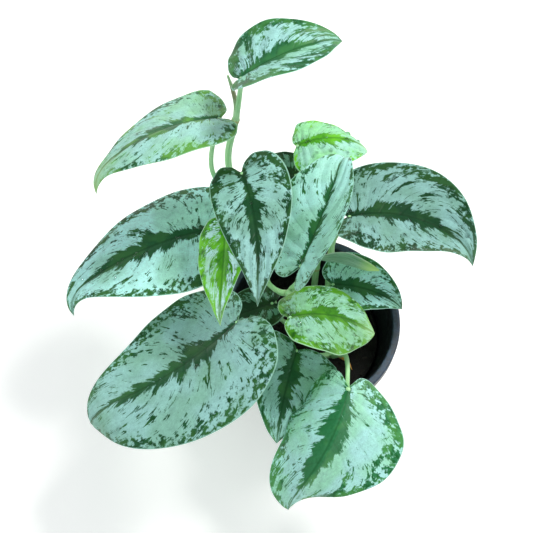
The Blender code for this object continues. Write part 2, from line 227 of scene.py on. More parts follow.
class BladeSurface:
    """Curved middle surface of a blade, in millimetres from its notch."""

    STATIONS = 160

    def __init__(self, shape: BladeShape) -> None:
        """Follow the midrib from the notch to the tip.

        Args:
            shape: the blade's pose.
        """
        self.shape = shape
        forward, _, _ = self.frames(np.linspace(0, 1, self.STATIONS + 1))
        steps = (forward[1:] + forward[:-1]) / 2 * shape.length / self.STATIONS
        self.rib = np.vstack([np.zeros(3), np.cumsum(steps, axis=0)])

    def frames(self, share: Array) -> tuple[Array, Array, Array]:
        """Directions of the midrib.

        Args:
            share: places along the midrib from 0 to 1.

        Returns:
            Forward, left and up directions, one row for each place.
        """
        shape = self.shape
        hooked = np.clip((share - HOOK_START) / (1 - HOOK_START), 0, 1) ** 2
        pitch = np.radians(shape.rise - shape.droop * share - shape.hook * hooked)
        turn = np.radians(shape.heading + shape.swing * share + shape.tip_swing * hooked)
        lean = np.radians(shape.roll + shape.twist * share)[:, None]
        forward = np.stack([np.cos(pitch) * np.cos(turn), np.cos(pitch) * np.sin(turn),
                            np.sin(pitch)], axis=1)
        level = np.stack([-np.sin(turn), np.cos(turn), np.zeros_like(turn)], axis=1)
        left = level * np.cos(lean) + np.cross(forward, level) * np.sin(lean)
        return forward, left, np.cross(forward, left)

    def flat(self, row: Array, side: Array) -> tuple[Array, Array]:
        """Place on the flattened blade.

        Args:
            row: from 0 at the notch to 1 at the tip.
            side: from -1 at the right margin to 1 at the left one.

        Returns:
            Shares of the length along the midrib and of the half width across it.
        """
        shape = self.shape
        belly, full = (np.where(side > 0, *pair) for pair in (shape.belly, shape.full))
        edge = spline(HEART, row)
        x = edge[:, 0]
        x = np.where(x < 0, x * shape.lobe, x + belly * x * (1 - x))
        y = np.clip(edge[:, 1], 0, None) ** (1 - full * np.clip(x, 0, 1))
        start = row ** VEIN_CROWDING
        v = np.abs(side)
        bend = start + VEIN_LEAN * (x - start)
        along = (1 - v) ** 2 * start + 2 * v * (1 - v) * bend + v * v * x
        across = 2 * v * (1 - v) * VEIN_SPREAD * y + v * v * y
        return along, across

    def sample(self, row: Array, side: Array) -> dict[str, Array]:
        """Points and directions of the surface.

        Args:
            row: from 0 at the notch to 1 at the tip.
            side: from -1 at the right margin to 1 at the left one.

        Returns:
            Arrays named point, normal, along and across, in millimetres.
        """
        shape = self.shape
        along, across = self.flat(row, side)
        share = np.clip(along, 0, 1)
        forward, left, up = self.frames(share)
        place = share * self.STATIONS
        index = np.minimum(place.astype(int), self.STATIONS - 1)
        part = (place - index)[:, None]
        centre = self.rib[index] * (1 - part) + self.rib[index + 1] * part
        centre = centre + forward * (np.minimum(along, 0) * shape.length)[:, None]
        fold, spread, cup, half_width = (np.where(side >= 0, *pair) for pair in (
            shape.fold, shape.spread, shape.cup, shape.half_width))
        angle = np.radians(fold + spread * np.clip(along, 0, None) + cup * across / 2)[:, None]
        reach = (across * half_width)[:, None]
        outward = np.where((side >= 0)[:, None], left, -left)
        tilted = up * np.cos(angle) - outward * np.sin(angle)
        near_rib = smooth(0.0, 2.0, reach)
        return {
            "point": centre + outward * reach * np.cos(angle) + up * reach * np.sin(angle),
            "normal": unit(up * (1 - near_rib) + tilted * near_rib),
            "along": along * shape.length,
            "across": reach[:, 0],
        }


# ------------------------------------------------------------------------- materials


class Value:
    """A node's output that adds and multiplies like a number, by way of more nodes."""

    def __init__(self, sheet: "Sheet", socket: Socket) -> None:
        """Keep the output and the nodes that it belongs to."""
        self.sheet = sheet
        self.socket = socket

    def __add__(self, other: object) -> "Value":
        """Add a value or a number."""
        return self.sheet.math("ADD", self, other)

    def __sub__(self, other: object) -> "Value":
        """Take a value or a number away."""
        return self.sheet.math("SUBTRACT", self, other)

    def __rsub__(self, other: object) -> "Value":
        """Take this value away from a number."""
        return self.sheet.math("SUBTRACT", other, self)

    def __mul__(self, other: object) -> "Value":
        """Multiply by a value or a number."""
        return self.sheet.math("MULTIPLY", self, other)

    def __abs__(self) -> "Value":
        """Drop the sign."""
        return self.sheet.math("ABSOLUTE", self)


class Sheet:
    """Short forms for adding nodes to one node tree."""

    def __init__(self, tree: bpy.types.NodeTree) -> None:
        """Keep the tree to add to."""
        self.tree = tree

    def put(self, socket: Socket, value: object) -> None:
        """Link a value to a socket, or set the socket's own value.

        Args:
            socket: the input to set.
            value: a value to link, or a plain number, colour or vector.
        """
        if isinstance(value, Value):
            self.tree.links.new(value.socket, socket)
        elif isinstance(value, tuple) and len(value) == 3 and socket.type == "RGBA":
            socket.default_value = (*value, 1.0)
        else:
            socket.default_value = value

    def add(self, kind: str, given: Any = (), out: Any = 0, **settings: object) -> Value:
        """Add a node.

        Args:
            kind: its type, without the word ShaderNode.
            given: what its inputs take, in their order or by number or label.
            out: the number or the label of the output that is wanted.
            **settings: its own properties.

        Returns:
            That output.
        """
        node = self.tree.nodes.new("ShaderNode" + kind)
        for key, value in settings.items():
            setattr(node, key, value)
        for key, value in given.items() if isinstance(given, dict) else enumerate(given):
            self.put(node.inputs[key], value)
        return Value(self, node.outputs[out])

    def math(self, operation: str, *values: object) -> Value:
        """Combine values by one of the Math node's operations."""
        return self.add("Math", values, operation=operation)

    def step(self, value: object, low: object, high: object,
             to_low: object = 0.0, to_high: object = 1.0) -> Value:
        """Rise smoothly from to_low to to_high as value goes from low to high."""
        return self.add("MapRange", (value, low, high, to_low, to_high),
                        interpolation_type="SMOOTHSTEP")

    def vector(self, x: object, y: object, z: object = 0.0) -> Value:
        """Combine three values."""
        return self.add("CombineXYZ", (x, y, z))

    def parts(self, vector: Value) -> list[Value]:
        """Split a vector into its three values."""
        node = self.add("SeparateXYZ", (vector,)).socket.node
        return [Value(self, socket) for socket in node.outputs]

    def noise(self, place: object, scale: object, detail: float = 2.0,
              roughness: float = 0.5) -> Value:
        """Smooth noise around one half."""
        return self.add("TexNoise", {"Vector": place, "Scale": scale, "Detail": detail,
                                     "Roughness": roughness}, "Fac")

    def mix(self, share: object, a: object, b: object) -> Value:
        """Mix two colours."""
        return self.add("Mix", {0: share, 6: a, 7: b}, 2, data_type="RGBA")

    def shade(self, colour: object, factor: object) -> Value:
        """Multiply a colour by a value."""
        return self.add("VectorMath", {0: colour, "Scale": factor}, operation="SCALE")

    def uv(self, name: str) -> list[Value]:
        """Read the two coordinates of a UV map."""
        return self.parts(self.add("UVMap", uv_map=name))[:2]

    def place(self) -> Value:
        """Read the place on the piece, in metres."""
        return self.add("TexCoord", out="Object")

    def vein_line(self, vein: Value, side: Value, ends: Pair) -> Value:
        """Draw the side veins, fading between two places across the blade."""
        phase = self.math("FRACT", vein * float(SIDE_VEINS))
        return self.step(abs(phase - 0.5), 0.10, 0.0) * self.step(side, *ends)


class Group:
    """A shader node group that is built once and placed with other values."""

    name = ""
    takes: dict[str, str] = {}
    gives: dict[str, str] = {}

    def __init__(self, sheet: Sheet, given: dict[str, Value]) -> None:
        """Keep the group's own nodes and its inputs."""
        self.sheet = sheet
        self.given = given

    @classmethod
    def tree(cls) -> bpy.types.NodeTree:
        """Return the node group, made on first use.

        Returns:
            The group's node tree.
        """
        found = bpy.data.node_groups.get(cls.name)
        if found:
            return found
        made = bpy.data.node_groups.new(cls.name, "ShaderNodeTree")
        for way, sockets in (("INPUT", cls.takes), ("OUTPUT", cls.gives)):
            for label, kind in sockets.items():
                made.interface.new_socket(label, in_out=way, socket_type="NodeSocket" + kind)
        sheet = Sheet(made)
        start = made.nodes.new("NodeGroupInput").outputs
        end = made.nodes.new("NodeGroupOutput").inputs
        given = {label: Value(sheet, start[label]) for label in cls.takes}
        for label, value in cls(sheet, given).build().items():
            sheet.put(end[label], value)
        return made

    def build(self) -> dict[str, Value]:
        """Make the group's nodes and return what it gives out."""
        raise NotImplementedError

    @classmethod
    def place_in(cls, sheet: Sheet, **values: object) -> dict[str, Value]:
        """Place the group in a material.

        Args:
            sheet: the material's nodes.
            **values: what each input is set to or linked from.

        Returns:
            What the placed group gives out.
        """
        node = sheet.tree.nodes.new("ShaderNodeGroup")
        node.node_tree = cls.tree()
        for label, value in values.items():
            sheet.put(node.inputs[label], value)
        return {label: Value(sheet, node.outputs[label]) for label in cls.gives}


class Streaks(NamedTuple):
    """Noise drawn out along the side veins, and its weight in the silver."""

    rows: float              # how fine it is along the blade
    sides: float             # how fine it is across the blade
    detail: float
    rough: float = 0.55
    inner: float = 0.0       # its weight near the midrib
    gain: float = 0.0        # what its weight gains toward the margin


SILVER_STREAKS = (Streaks(12.0, 2.2, 3.0, 0.6, 0.42, -0.20),
                  Streaks(34.0, 5.0, 3.0, 0.65, 0.28, -0.12),
                  Streaks(76.0, 13.0, 2.0, 0.55, 0.16, -0.02))
BAND_SPIKES = Streaks(17.0, 1.2, 2.0)
CHOSEN_VEINS = Streaks(7.0, 1.1, 1.0, 0.5)
HAIRS = Streaks(30.0, 1.6, 2.0, 0.6)


class SatinPattern(Group):
    """Silver splashes on green, drawn out along the side veins of a blade."""

    name = "satin_pattern"
    takes = {**dict.fromkeys(("Silver", "Green", "Band", "Lime", "Tip"), "Color"),
             **dict.fromkeys(("Cover", "Band Width", "Lime Share", "Tip Share", "Margin",
                              "Seed"), "Float")}
    gives = {"Color": "Color", "Silver Mask": "Float", "Height": "Float"}

    HALF_SHIFT = 7.3         # keeps the noise of the two halves apart
    EVEN = 0.50              # level of the noise that parts silver from green
    BAND_HOLD = -0.20        # how strongly each feature holds the silver back
    VEIN_HOLD = -0.070
    NOTCH_HOLD = -0.13
    HAIR_HOLD = -0.120
    THIN_SHARE = 0.42        # strength of the thin silver round the splashes

    def build(self) -> dict[str, Value]:
        """Make the splashes, the band along the midrib, the margin and the relief.

        Returns:
            What the group gives out, by its labels.
        """
        sheet, given = self.sheet, self.given
        self.row, across = sheet.uv("vein")
        self.x, self.y = sheet.uv("flat")
        signed = across * 2.0 - 1.0
        self.side = abs(signed)
        self.layer = sheet.math("GREATER_THAN", signed, 0.0) * self.HALF_SHIFT + given["Seed"]
        self.vein = vein_at(self.row, self.side)
        self.level = sheet.vector(self.x, self.y, self.layer)
        seeded = sheet.vector(self.x, self.y, given["Seed"])
        self.wander = sheet.noise(seeded, 5.0, 1.0)
        self.patch = sheet.noise(seeded, 9.0, 1.0)

        banded = self.band()
        total = self.splashes() + (self.held_back(banded) + given["Cover"])
        silver = sheet.step(total, -0.006, 0.008)
        thin = sheet.step(total, -0.034, -0.012) * self.THIN_SHARE
        cover = sheet.math("MAXIMUM", silver, thin)
        line = sheet.vein_line(self.vein, self.side, (0.95, 0.3))
        pebble = sheet.noise(self.level, 420.0, 3.0, 0.6)
        return {"Color": self.colours(banded, cover, line), "Silver Mask": cover,
                "Height": silver * 0.12 + (pebble * 0.55 + line * -0.8)}

    def streaked(self, streaks: Streaks) -> Value:
        """Return noise drawn out along the side veins."""
        place = self.sheet.vector(self.vein * streaks.rows, self.side * streaks.sides, self.layer)
        return self.sheet.noise(place, 1.0, streaks.detail, streaks.rough)

    def splashes(self) -> Value:
        """Sum the layers of noise that make the silver, around zero.

        Returns:
            The level of the noise.
        """
        outer = self.sheet.step(self.side, 0.45, 0.90)
        total = self.sheet.noise(self.level, 30.0, 3.0, 0.62) * (outer * 0.34 + 0.14)
        for streaks in SILVER_STREAKS:
            total = total + self.streaked(streaks) * (outer * streaks.gain + streaks.inner)
        return total - self.EVEN

    def band(self) -> Value:
        """Return the green band along the midrib, with spikes along the veins.

        Returns:
            The band's share, from 0 to 1.
        """
        step = self.sheet.step
        width = step(self.row, 0.0, 0.25, 0.45, 0.80) * step(self.row, 0.45, 0.98, 1.0, 0.25)
        spikes = (self.streaked(BAND_SPIKES) - 0.5) * 0.34
        return step(spikes + width * self.given["Band Width"] - self.side, -0.17, 0.10)

    def held_back(self, banded: Value) -> Value:
        """Add up what holds the silver back or helps it.

        Args:
            banded: the band along the midrib.

        Returns:
            What the features add to the level of the noise.
        """
        sheet = self.sheet
        near_edge = sheet.step(self.side, 0.60, 0.94, 0.026, -0.080)
        near_tip = sheet.step(self.row, 0.80, 1.0, 0.0, -0.015)
        phase = sheet.math("FRACT", self.vein * 8.0 + self.wander * 1.2)
        veins = (sheet.step(abs(phase - 0.5), 0.20, 0.02)
                 * sheet.step(self.streaked(CHOSEN_VEINS), 0.50, 0.60))
        from_notch = sheet.add("VectorMath", (sheet.vector(self.x - 0.02, self.y * 1.7),),
                               "Value", operation="LENGTH")
        sparse = sheet.step(sheet.noise(self.level, 16.0, 2.0), 0.44, 0.58)
        hairs = sheet.step(abs(self.streaked(HAIRS) - 0.5), 0.034, 0.006) * sparse
        return (near_edge + near_tip + banded * self.BAND_HOLD + veins * self.VEIN_HOLD
                + sheet.step(from_notch, 0.085, 0.030) * self.NOTCH_HOLD + hairs * self.HAIR_HOLD)

    def colours(self, banded: Value, cover: Value, line: Value) -> Value:
        """Colour the blade.

        Args:
            banded: the band along the midrib.
            cover: the silver.
            line: the side veins, darkened partly for their own colour and partly as painted shade in
                their grooves.

        Returns:
            The colour.
        """
        sheet, given, side = self.sheet, self.given, self.side
        tone = sheet.noise(self.level, 44.0, 2.0)
        rimmed = sheet.step(side * 0.22 + self.patch, 0.60, 0.74, 0.0, 1.6)
        yellow = sheet.math("MAXIMUM", sheet.step(self.patch, 0.46, 0.62), rimmed)
        yellow = sheet.math("MINIMUM", yellow * given["Lime Share"], 1.0)
        green = sheet.mix(sheet.step(tone, 0.38, 0.62), given["Green"], given["Band"])
        band_green = sheet.mix(sheet.step(tone, 0.3, 0.8, 0.0, 0.6), given["Band"],
                               given["Green"])
        green = sheet.mix(yellow, sheet.mix(banded, green, band_green), given["Lime"])

        grain = sheet.noise(self.level, 120.0, 4.0, 0.85)
        cloud = sheet.noise(self.level, 30.0, 3.0)
        tinted = sheet.mix(sheet.step(self.wander, 0.40, 0.68, 0.0, 0.34), given["Silver"],
                           given["Lime"])
        tinted = sheet.mix(yellow * 0.28, tinted, given["Lime"])
        silvery = sheet.shade(tinted, cloud * 0.42 + (grain * 0.80 + 0.39))

        colour = sheet.mix(cover, green, silvery)
        rib = sheet.step(abs(self.y), 0.010, 0.003)
        colour = sheet.mix(rib * 0.5, colour, sheet.shade(given["Green"], 0.8))
        # The side veins darken the colour: partly their own colour, partly painted shade in their
        # grooves.
        colour = sheet.mix(line * 0.30, colour, sheet.shade(colour, 0.70))
        tip = sheet.step(self.row, 0.74, 1.0) * given["Tip Share"]
        colour = sheet.mix(tip, colour, given["Tip"])
        border = sheet.step(side, 1.0 - given["Margin"], given["Margin"] * -0.5 + 1.0)
        pale = sheet.mix(0.45, given["Silver"], given["Tip"])
        return sheet.mix(border * 0.85, colour, pale)


class Mottle(Group):
    """Two tones mixed by fine and coarse noise, with a matching relief."""

    name = "mottle"
    takes = {"Light": "Color", "Dark": "Color", "Place": "Vector", "Coarse": "Float",
             "Fine": "Float"}
    gives = {"Color": "Color", "Tone": "Float", "Height": "Float"}

    def build(self) -> dict[str, Value]:
        """Mix the tones by the sum of the two noises.

        Returns:
            What the group gives out, by its labels.
        """
        given = self.given
        coarse = self.sheet.noise(given["Place"], given["Coarse"], 3.0, 0.6)
        fine = self.sheet.noise(given["Place"], given["Fine"], 3.0, 0.65)
        tone = self.sheet.step(coarse * 0.6 + fine * 0.4, 0.34, 0.66)
        return {"Color": self.sheet.mix(tone, given["Dark"], given["Light"]), "Tone": tone,
                "Height": fine}


class Paint(Sheet):
    """The nodes of one material, with its Principled shader."""

    def __init__(self, name: str, **fixed: float) -> None:
        """Start a material.

        Args:
            name: the material's name.
            **fixed: the shader's own values, by label, the same all over the surface.
        """
        self.made = bpy.data.materials.new(name)
        self.made.use_nodes = True
        super().__init__(self.made.node_tree)
        self.shader = self.made.node_tree.nodes["Principled BSDF"]
        for label, value in fixed.items():
            self.put(self.shader.inputs[label], value)

    def skin(self, along: float, around: float) -> Value:
        """Read the place on a stalk's skin, scaled along it and around it."""
        skin = self.uv("skin")
        return self.vector(skin[0] * along, skin[1] * around)

    def mottled(self, light: Colour, dark: Colour, place: Value,
                sizes: Pair) -> dict[str, Value]:
        """Place the mottle, with its coarse and its fine scale."""
        return Mottle.place_in(self, Light=light, Dark=dark, Place=place, Coarse=sizes[0],
                               Fine=sizes[1])

    def coat(self, colour: object, rough: object, relief: Optional[Value] = None,
             strength: float = 0.0, depth: float = 0.0) -> Material:
        """Feed the shader.

        Args:
            colour: the base colour.
            rough: the roughness.
            relief: heights from 0 to 1, if the surface has a relief.
            strength: how strongly the relief shows.
            depth: its depth in metres.

        Returns:
            The material.
        """
        self.put(self.shader.inputs["Base Color"], colour)
        self.put(self.shader.inputs["Roughness"], rough)
        if relief:
            self.put(self.shader.inputs["Normal"], self.add(
                "Bump", {"Strength": strength, "Distance": depth, "Height": relief}))
        return self.made


def scaled(colour: Colour, factor: float) -> Colour:
    """Make a colour brighter or darker, at most white."""
    return tuple(min(channel * factor, 1.0) for channel in colour)


@dataclass(frozen=True)
class SatinFinish:
    """Upper side of a blade: satin silver over green."""

    silver: Colour
    green: Colour
    band: Colour
    lime: Colour
    tip: Colour
    lime_share: float
    tip_share: float
    margin: float = 0.8            # millimetres
    cover: float = 0.3             # how much a leaf's silver share counts
    seed_step: float = 3.17

    def material(self, plan: LeafPlan) -> Material:
        """Make the upper side's material for one leaf.

        Args:
            plan: the leaf to paint.

        Returns:
            The material.
        """
        paint = Paint("satin_" + plan.name, **{"Specular IOR Level": 0.20})
        # Each leaf's two factors scale its silver and its green: partly its own tone, partly painted
        # light and shade for how brightly the leaf is lit.
        green, band, lime = (scaled(colour, plan.bright[1])
                             for colour in (self.green, self.band, self.lime))
        out = SatinPattern.place_in(paint, **{
            "Silver": scaled(self.silver, plan.bright[0]), "Green": green, "Band": band,
            "Lime": lime, "Tip": self.tip, "Cover": (plan.silver - 0.5) * self.cover,
            "Band Width": plan.band, "Lime Share": self.lime_share,
            "Tip Share": self.tip_share, "Margin": self.margin / max(plan.shape.half_width),
            "Seed": plan.seed * self.seed_step})
        return paint.coat(out["Color"], paint.step(out["Silver Mask"], 0.0, 1.0, 0.36, 0.50),
                          out["Height"], 0.35, 0.0004)


@dataclass(frozen=True)
class UndersideFinish:
    """Underside of a blade: matt and paler, with the veins showing."""

    light: Colour
    dark: Colour

    def material(self, name: str) -> Material:
        """Make the underside's material.

        Args:
            name: the material's name.

        Returns:
            The material.
        """
        paint = Paint(name)
        row, across = paint.uv("vein")
        x, y = paint.uv("flat")
        out = paint.mottled(self.light, self.dark, paint.vector(x, y), (25.0, 300.0))
        side = abs(across * 2.0 - 1.0)
        line = paint.math("MAXIMUM", paint.vein_line(vein_at(row, side), side, (0.9, 0.2)),
                          paint.step(abs(y), 0.016, 0.006))
        colour = paint.mix(line * 0.7, out["Color"], paint.shade(self.light, 1.12))
        return paint.coat(colour, paint.step(out["Tone"], 0.0, 1.0, 0.52, 0.62),
                          line + out["Height"], 0.3, 0.0003)


@dataclass(frozen=True)
class StalkFinish:
    """Smooth pale green skin of stems and petioles, browner at the nodes."""

    light: Colour
    dark: Colour
    scar: Colour
    foot: Colour

    def material(self, name: str) -> Material:
        """Make the stalk's material.

        Args:
            name: the material's name.

        Returns:
            The material.
        """
        paint = Paint(name)
        out = paint.mottled(self.light, self.dark, paint.skin(3.0, 16.0), (1.0, 9.0))
        specks = paint.step(paint.noise(paint.place(), 1500.0), 0.60, 0.72, 0.0, 0.25)
        colour = paint.mix(specks, out["Color"], self.dark)
        for mark, tint in (("foot", self.foot), ("scar", self.scar)):
            share = paint.add("Attribute", out="Fac", attribute_name=mark)
            colour = paint.mix(share, colour, tint)
        return paint.coat(colour, paint.step(out["Tone"], 0.0, 1.0, 0.38, 0.50),
                          out["Height"], 0.25, 0.0003)


@dataclass(frozen=True)
class MottledFinish:
    """Damp mix, bark, perlite and papery sheaths: two tones and a relief."""

    light: Colour
    dark: Colour
    sizes: Pair                    # scales of the coarse and the fine mottle
    rough: Pair                    # roughness of the dark and the light tone
    strength: float = 0.8
    depth: float = 0.001
    skin: Optional[Pair] = None    # how a stalk's skin is stretched, if it is one

    def material(self, name: str) -> Material:
        """Make the material.

        Args:
            name: the material's name.

        Returns:
            The material.
        """
        paint = Paint(name)
        place = paint.skin(*self.skin) if self.skin else paint.place()
        out = paint.mottled(self.light, self.dark, place, self.sizes)
        return paint.coat(out["Color"], paint.step(out["Tone"], 0.0, 1.0, *self.rough),
                          out["Height"], self.strength, self.depth)


@dataclass(frozen=True)
class PotFinish:
    """Black moulded plastic with scuffs, and a pale blotchy band on the rim's top that is partly
    dust and partly painted highlight.
    """

    black: Colour
    worn: Colour
    dust_and_sheen: Colour
    dust_and_sheen_depth: Pair = (0.004, 0.0004)    # metres under the rim where the dust and painted highlight start and are full

    def material(self, name: str, rim_height: float) -> Material:
        """Make the pot's material.

        Args:
            name: the material's name.
            rim_height: height of the rim's top in metres.

        Returns:
            The material.
        """
        paint = Paint(name)
        place = paint.place()
        out = paint.mottled(self.worn, self.black, place, (35.0, 420.0))
        x, y, height = paint.parts(place)
        # Pale band on the rim's top: partly dust, partly painted highlight where the light falls on
        # the rim.
        on_rim = paint.step(height, *(rim_height - depth for depth in self.dust_and_sheen_depth))
        blotches = paint.noise(place, 260.0, 4.0, 0.7)
        scuff = paint.noise(paint.vector(x, y, height * 14.0), 70.0, 3.0, 0.7)
        dust_and_sheen_share = on_rim * paint.step(blotches, 0.40, 0.62, 0.35, 1.0)
        colour = paint.mix(paint.step(scuff, 0.60, 0.70) * 0.35, out["Color"], self.worn)
        return paint.coat(paint.mix(dust_and_sheen_share, colour, self.dust_and_sheen),
                          dust_and_sheen_share * 0.12 + (blotches * 0.30 + 0.30),
                          paint.noise(place, 1600.0), 0.12, 0.0002)


def water_material() -> Material:
    """Make clear water for the droplets, with a faint ripple in its skin.

    Returns:
        The material.
    """
    paint = Paint("water", **{"Transmission Weight": 1.0, "IOR": 1.33})
    wave = paint.noise(paint.place(), 900.0, 1.0)
    return paint.coat(paint.mix(wave, (0.93, 1.0, 0.97), (0.98, 1.0, 1.0)),
                      paint.step(wave, 0.3, 0.7, 0.0, 0.04))


def floor_material(colour: Colour, rough: float, glow: float) -> Material:
    """Make the studio floor's material: pale, with a faint glow that lifts its shadows."""
    paint = Paint("pale_floor", **{"Emission Color": colour, "Emission Strength": glow})
    return paint.coat(colour, rough)


# --------------------------------------------------------------------------- building


def finish_piece(name: str, bm: Mesh, materials: list[Material],
                 nodes: tuple[str, ...] = ()) -> Piece:
    """Turn a bmesh into a piece that rides on the plant's body.

    Args:
        name: the piece's name.
        bm: its mesh, which is freed.
        materials: its materials, in the order of its faces' indices.
        nodes: the frame's nodes that it stands for.

    Returns:
        The piece.
    """
    for face in bm.faces:
        face.smooth = True
    piece = add_object(name, bm)
    for made in materials:
        piece.data.materials.append(made)
    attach(piece, BODY)
    if nodes:
        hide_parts(*nodes)
    LOG.info("%s: %d faces", name, len(piece.data.polygons))
    return piece


def add_object(name: str, bm: Mesh) -> Piece:
    """Add a bmesh to the scene as an object, and free it.

    Args:
        name: the object's name.
        bm: its mesh, which is freed.

    Returns:
        The object.
    """
    mesh = bpy.data.meshes.new(name)
    bm.to_mesh(mesh)
    bm.free()
    made = bpy.data.objects.new(name, mesh)
    bpy.context.scene.collection.objects.link(made)
    return made


def sealed(bm: Mesh) -> Mesh:
    """Merge doubled vertices and turn the faces outwards.

    Args:
        bm: the mesh to mend.

    Returns:
        The same mesh.
    """
    bmesh.ops.remove_doubles(bm, verts=bm.verts, dist=MERGE)
    bmesh.ops.recalc_face_normals(bm, faces=bm.faces)
    return bm


def spun(profile: list[Pair], segments: int) -> Mesh:
    """Spin a cross-section of (radius, height) points, in metres, into a closed shape.

    Args:
        profile: the cross-section, out from the axis and back to it.
        segments: steps in a full turn.

    Returns:
        The closed mesh.
    """
    bm = bmesh.new()
    verts = [bm.verts.new((radius, 0.0, height)) for radius, height in profile]
    edges = [bm.edges.new(pair) for pair in zip(verts, verts[1:])]
    bmesh.ops.spin(bm, geom=verts + edges, cent=(0, 0, 0), axis=(0, 0, 1), angle=TURN,
                   steps=segments, use_merge=True)
    return sealed(bm)


def grid(columns: int, rows: int) -> tuple[Mesh, Array, Array]:
    """Start a grid, and return each vertex's two places on it, from 0 to 1.

    Args:
        columns: faces across.
        rows: faces along.

    Returns:
        The mesh, and each vertex's places across and along it.
    """
    bm = bmesh.new()
    bmesh.ops.create_grid(bm, x_segments=columns, y_segments=rows, size=1.0)
    places = (np.array([vert.co[:2] for vert in bm.verts]) + 1) / 2
    return bm, places[:, 0], places[:, 1]


def write_uv(bm: Mesh, name: str, *values: Array) -> None:
    """Write one UV pair for each vertex to all its corners.

    Args:
        bm: the mesh.
        name: the layer's name.
        *values: each vertex's two coordinates.
    """
    layer = bm.loops.layers.uv.new(name)
    pairs = np.stack(values, axis=1)
    for face in bm.faces:
        for loop in face.loops:
            loop[layer].uv = pairs[loop.vert.index]


def write_marks(bm: Mesh, name: str, values: Array) -> None:
    """Write one number for each vertex as an attribute that materials read.

    Args:
        bm: the mesh.
        name: the attribute's name.
        values: each vertex's number.
    """
    layer = bm.verts.layers.float.new(name)
    for vert, value in zip(bm.verts, values):
        vert[layer] = value


def transport(path: Array, hint: Point) -> tuple[Array, Array]:
    """Carry a side direction along a path without twist.

    Args:
        path: points of the path.
        hint: the side that the first point faces.

    Returns:
        Two directions square to the path, one row for each point.
    """
    tangent = unit(np.gradient(path, axis=0))
    first = np.zeros_like(tangent)
    side = np.array(hint) - tangent[0] * np.dot(hint, tangent[0])
    for index, along in enumerate(tangent):
        side = side - along * np.dot(side, along)
        side = side / np.linalg.norm(side)
        first[index] = side
    return first, np.cross(tangent, first)


def rim_top() -> float:
    """Return the height of the pot's rim in millimetres."""
    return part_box("nursery_pot")[1].z / MM


Section = Callable[[Array, Array], Array]


@dataclass
class Tube:
    """A round or shaped stalk swept along a path, closed and rounded at both ends."""

    path: Array                    # millimetres, as the radii
    radii: Array
    sides: int = 16
    section: Optional[Section] = None
    hint: Point = (0.3, -0.2, 1.0)

    CAPS = ((0.55, 0.84), (0.9, 0.45), (1.0, 0.0))    # shares of the end's radius

    def mesh(self) -> tuple[Mesh, Array]:
        """Sweep the tube.

        Returns:
            The mesh, and each vertex's distance along the path in millimetres.
        """
        path, radii = self.rounded()
        bm, around, along = grid(self.sides, len(path) - 1)
        ring = np.rint(along * (len(path) - 1)).astype(int)
        first, second = transport(path, self.hint)
        angle = around * TURN
        swell = self.section(angle, along) if self.section else np.ones_like(angle)
        reach = (radii[ring] * swell)[:, None]
        points = path[ring] + reach * (first[ring] * np.cos(angle)[:, None]
                                       + second[ring] * np.sin(angle)[:, None])
        write_uv(bm, "skin", along, around)
        for vert, point in zip(bm.verts, points):
            vert.co = point
        write_marks(bm, "reached", distances(path)[ring])
        reached = bm.verts.layers.float["reached"]
        sealed(bm)
        return bm, np.array([vert[reached] for vert in bm.verts]) / MM

    def rounded(self) -> tuple[Array, Array]:
        """Return the path and the radii in metres, with the rings that round both ends.

        Returns:
            The points of the path, and the radius at each.
        """
        path, radii = self.path * MM, self.radii * MM
        start = unit(path[0] - path[1]) * radii[0]
        end = unit(path[-1] - path[-2]) * radii[-1]
        rows = [(path[0] + start * out, radii[0] * thin) for out, thin in reversed(self.CAPS)]
        rows += zip(path, radii)
        rows += [(path[-1] + end * out, radii[-1] * thin) for out, thin in self.CAPS]
        return np.array([row[0] for row in rows]), np.array([row[1] for row in rows])


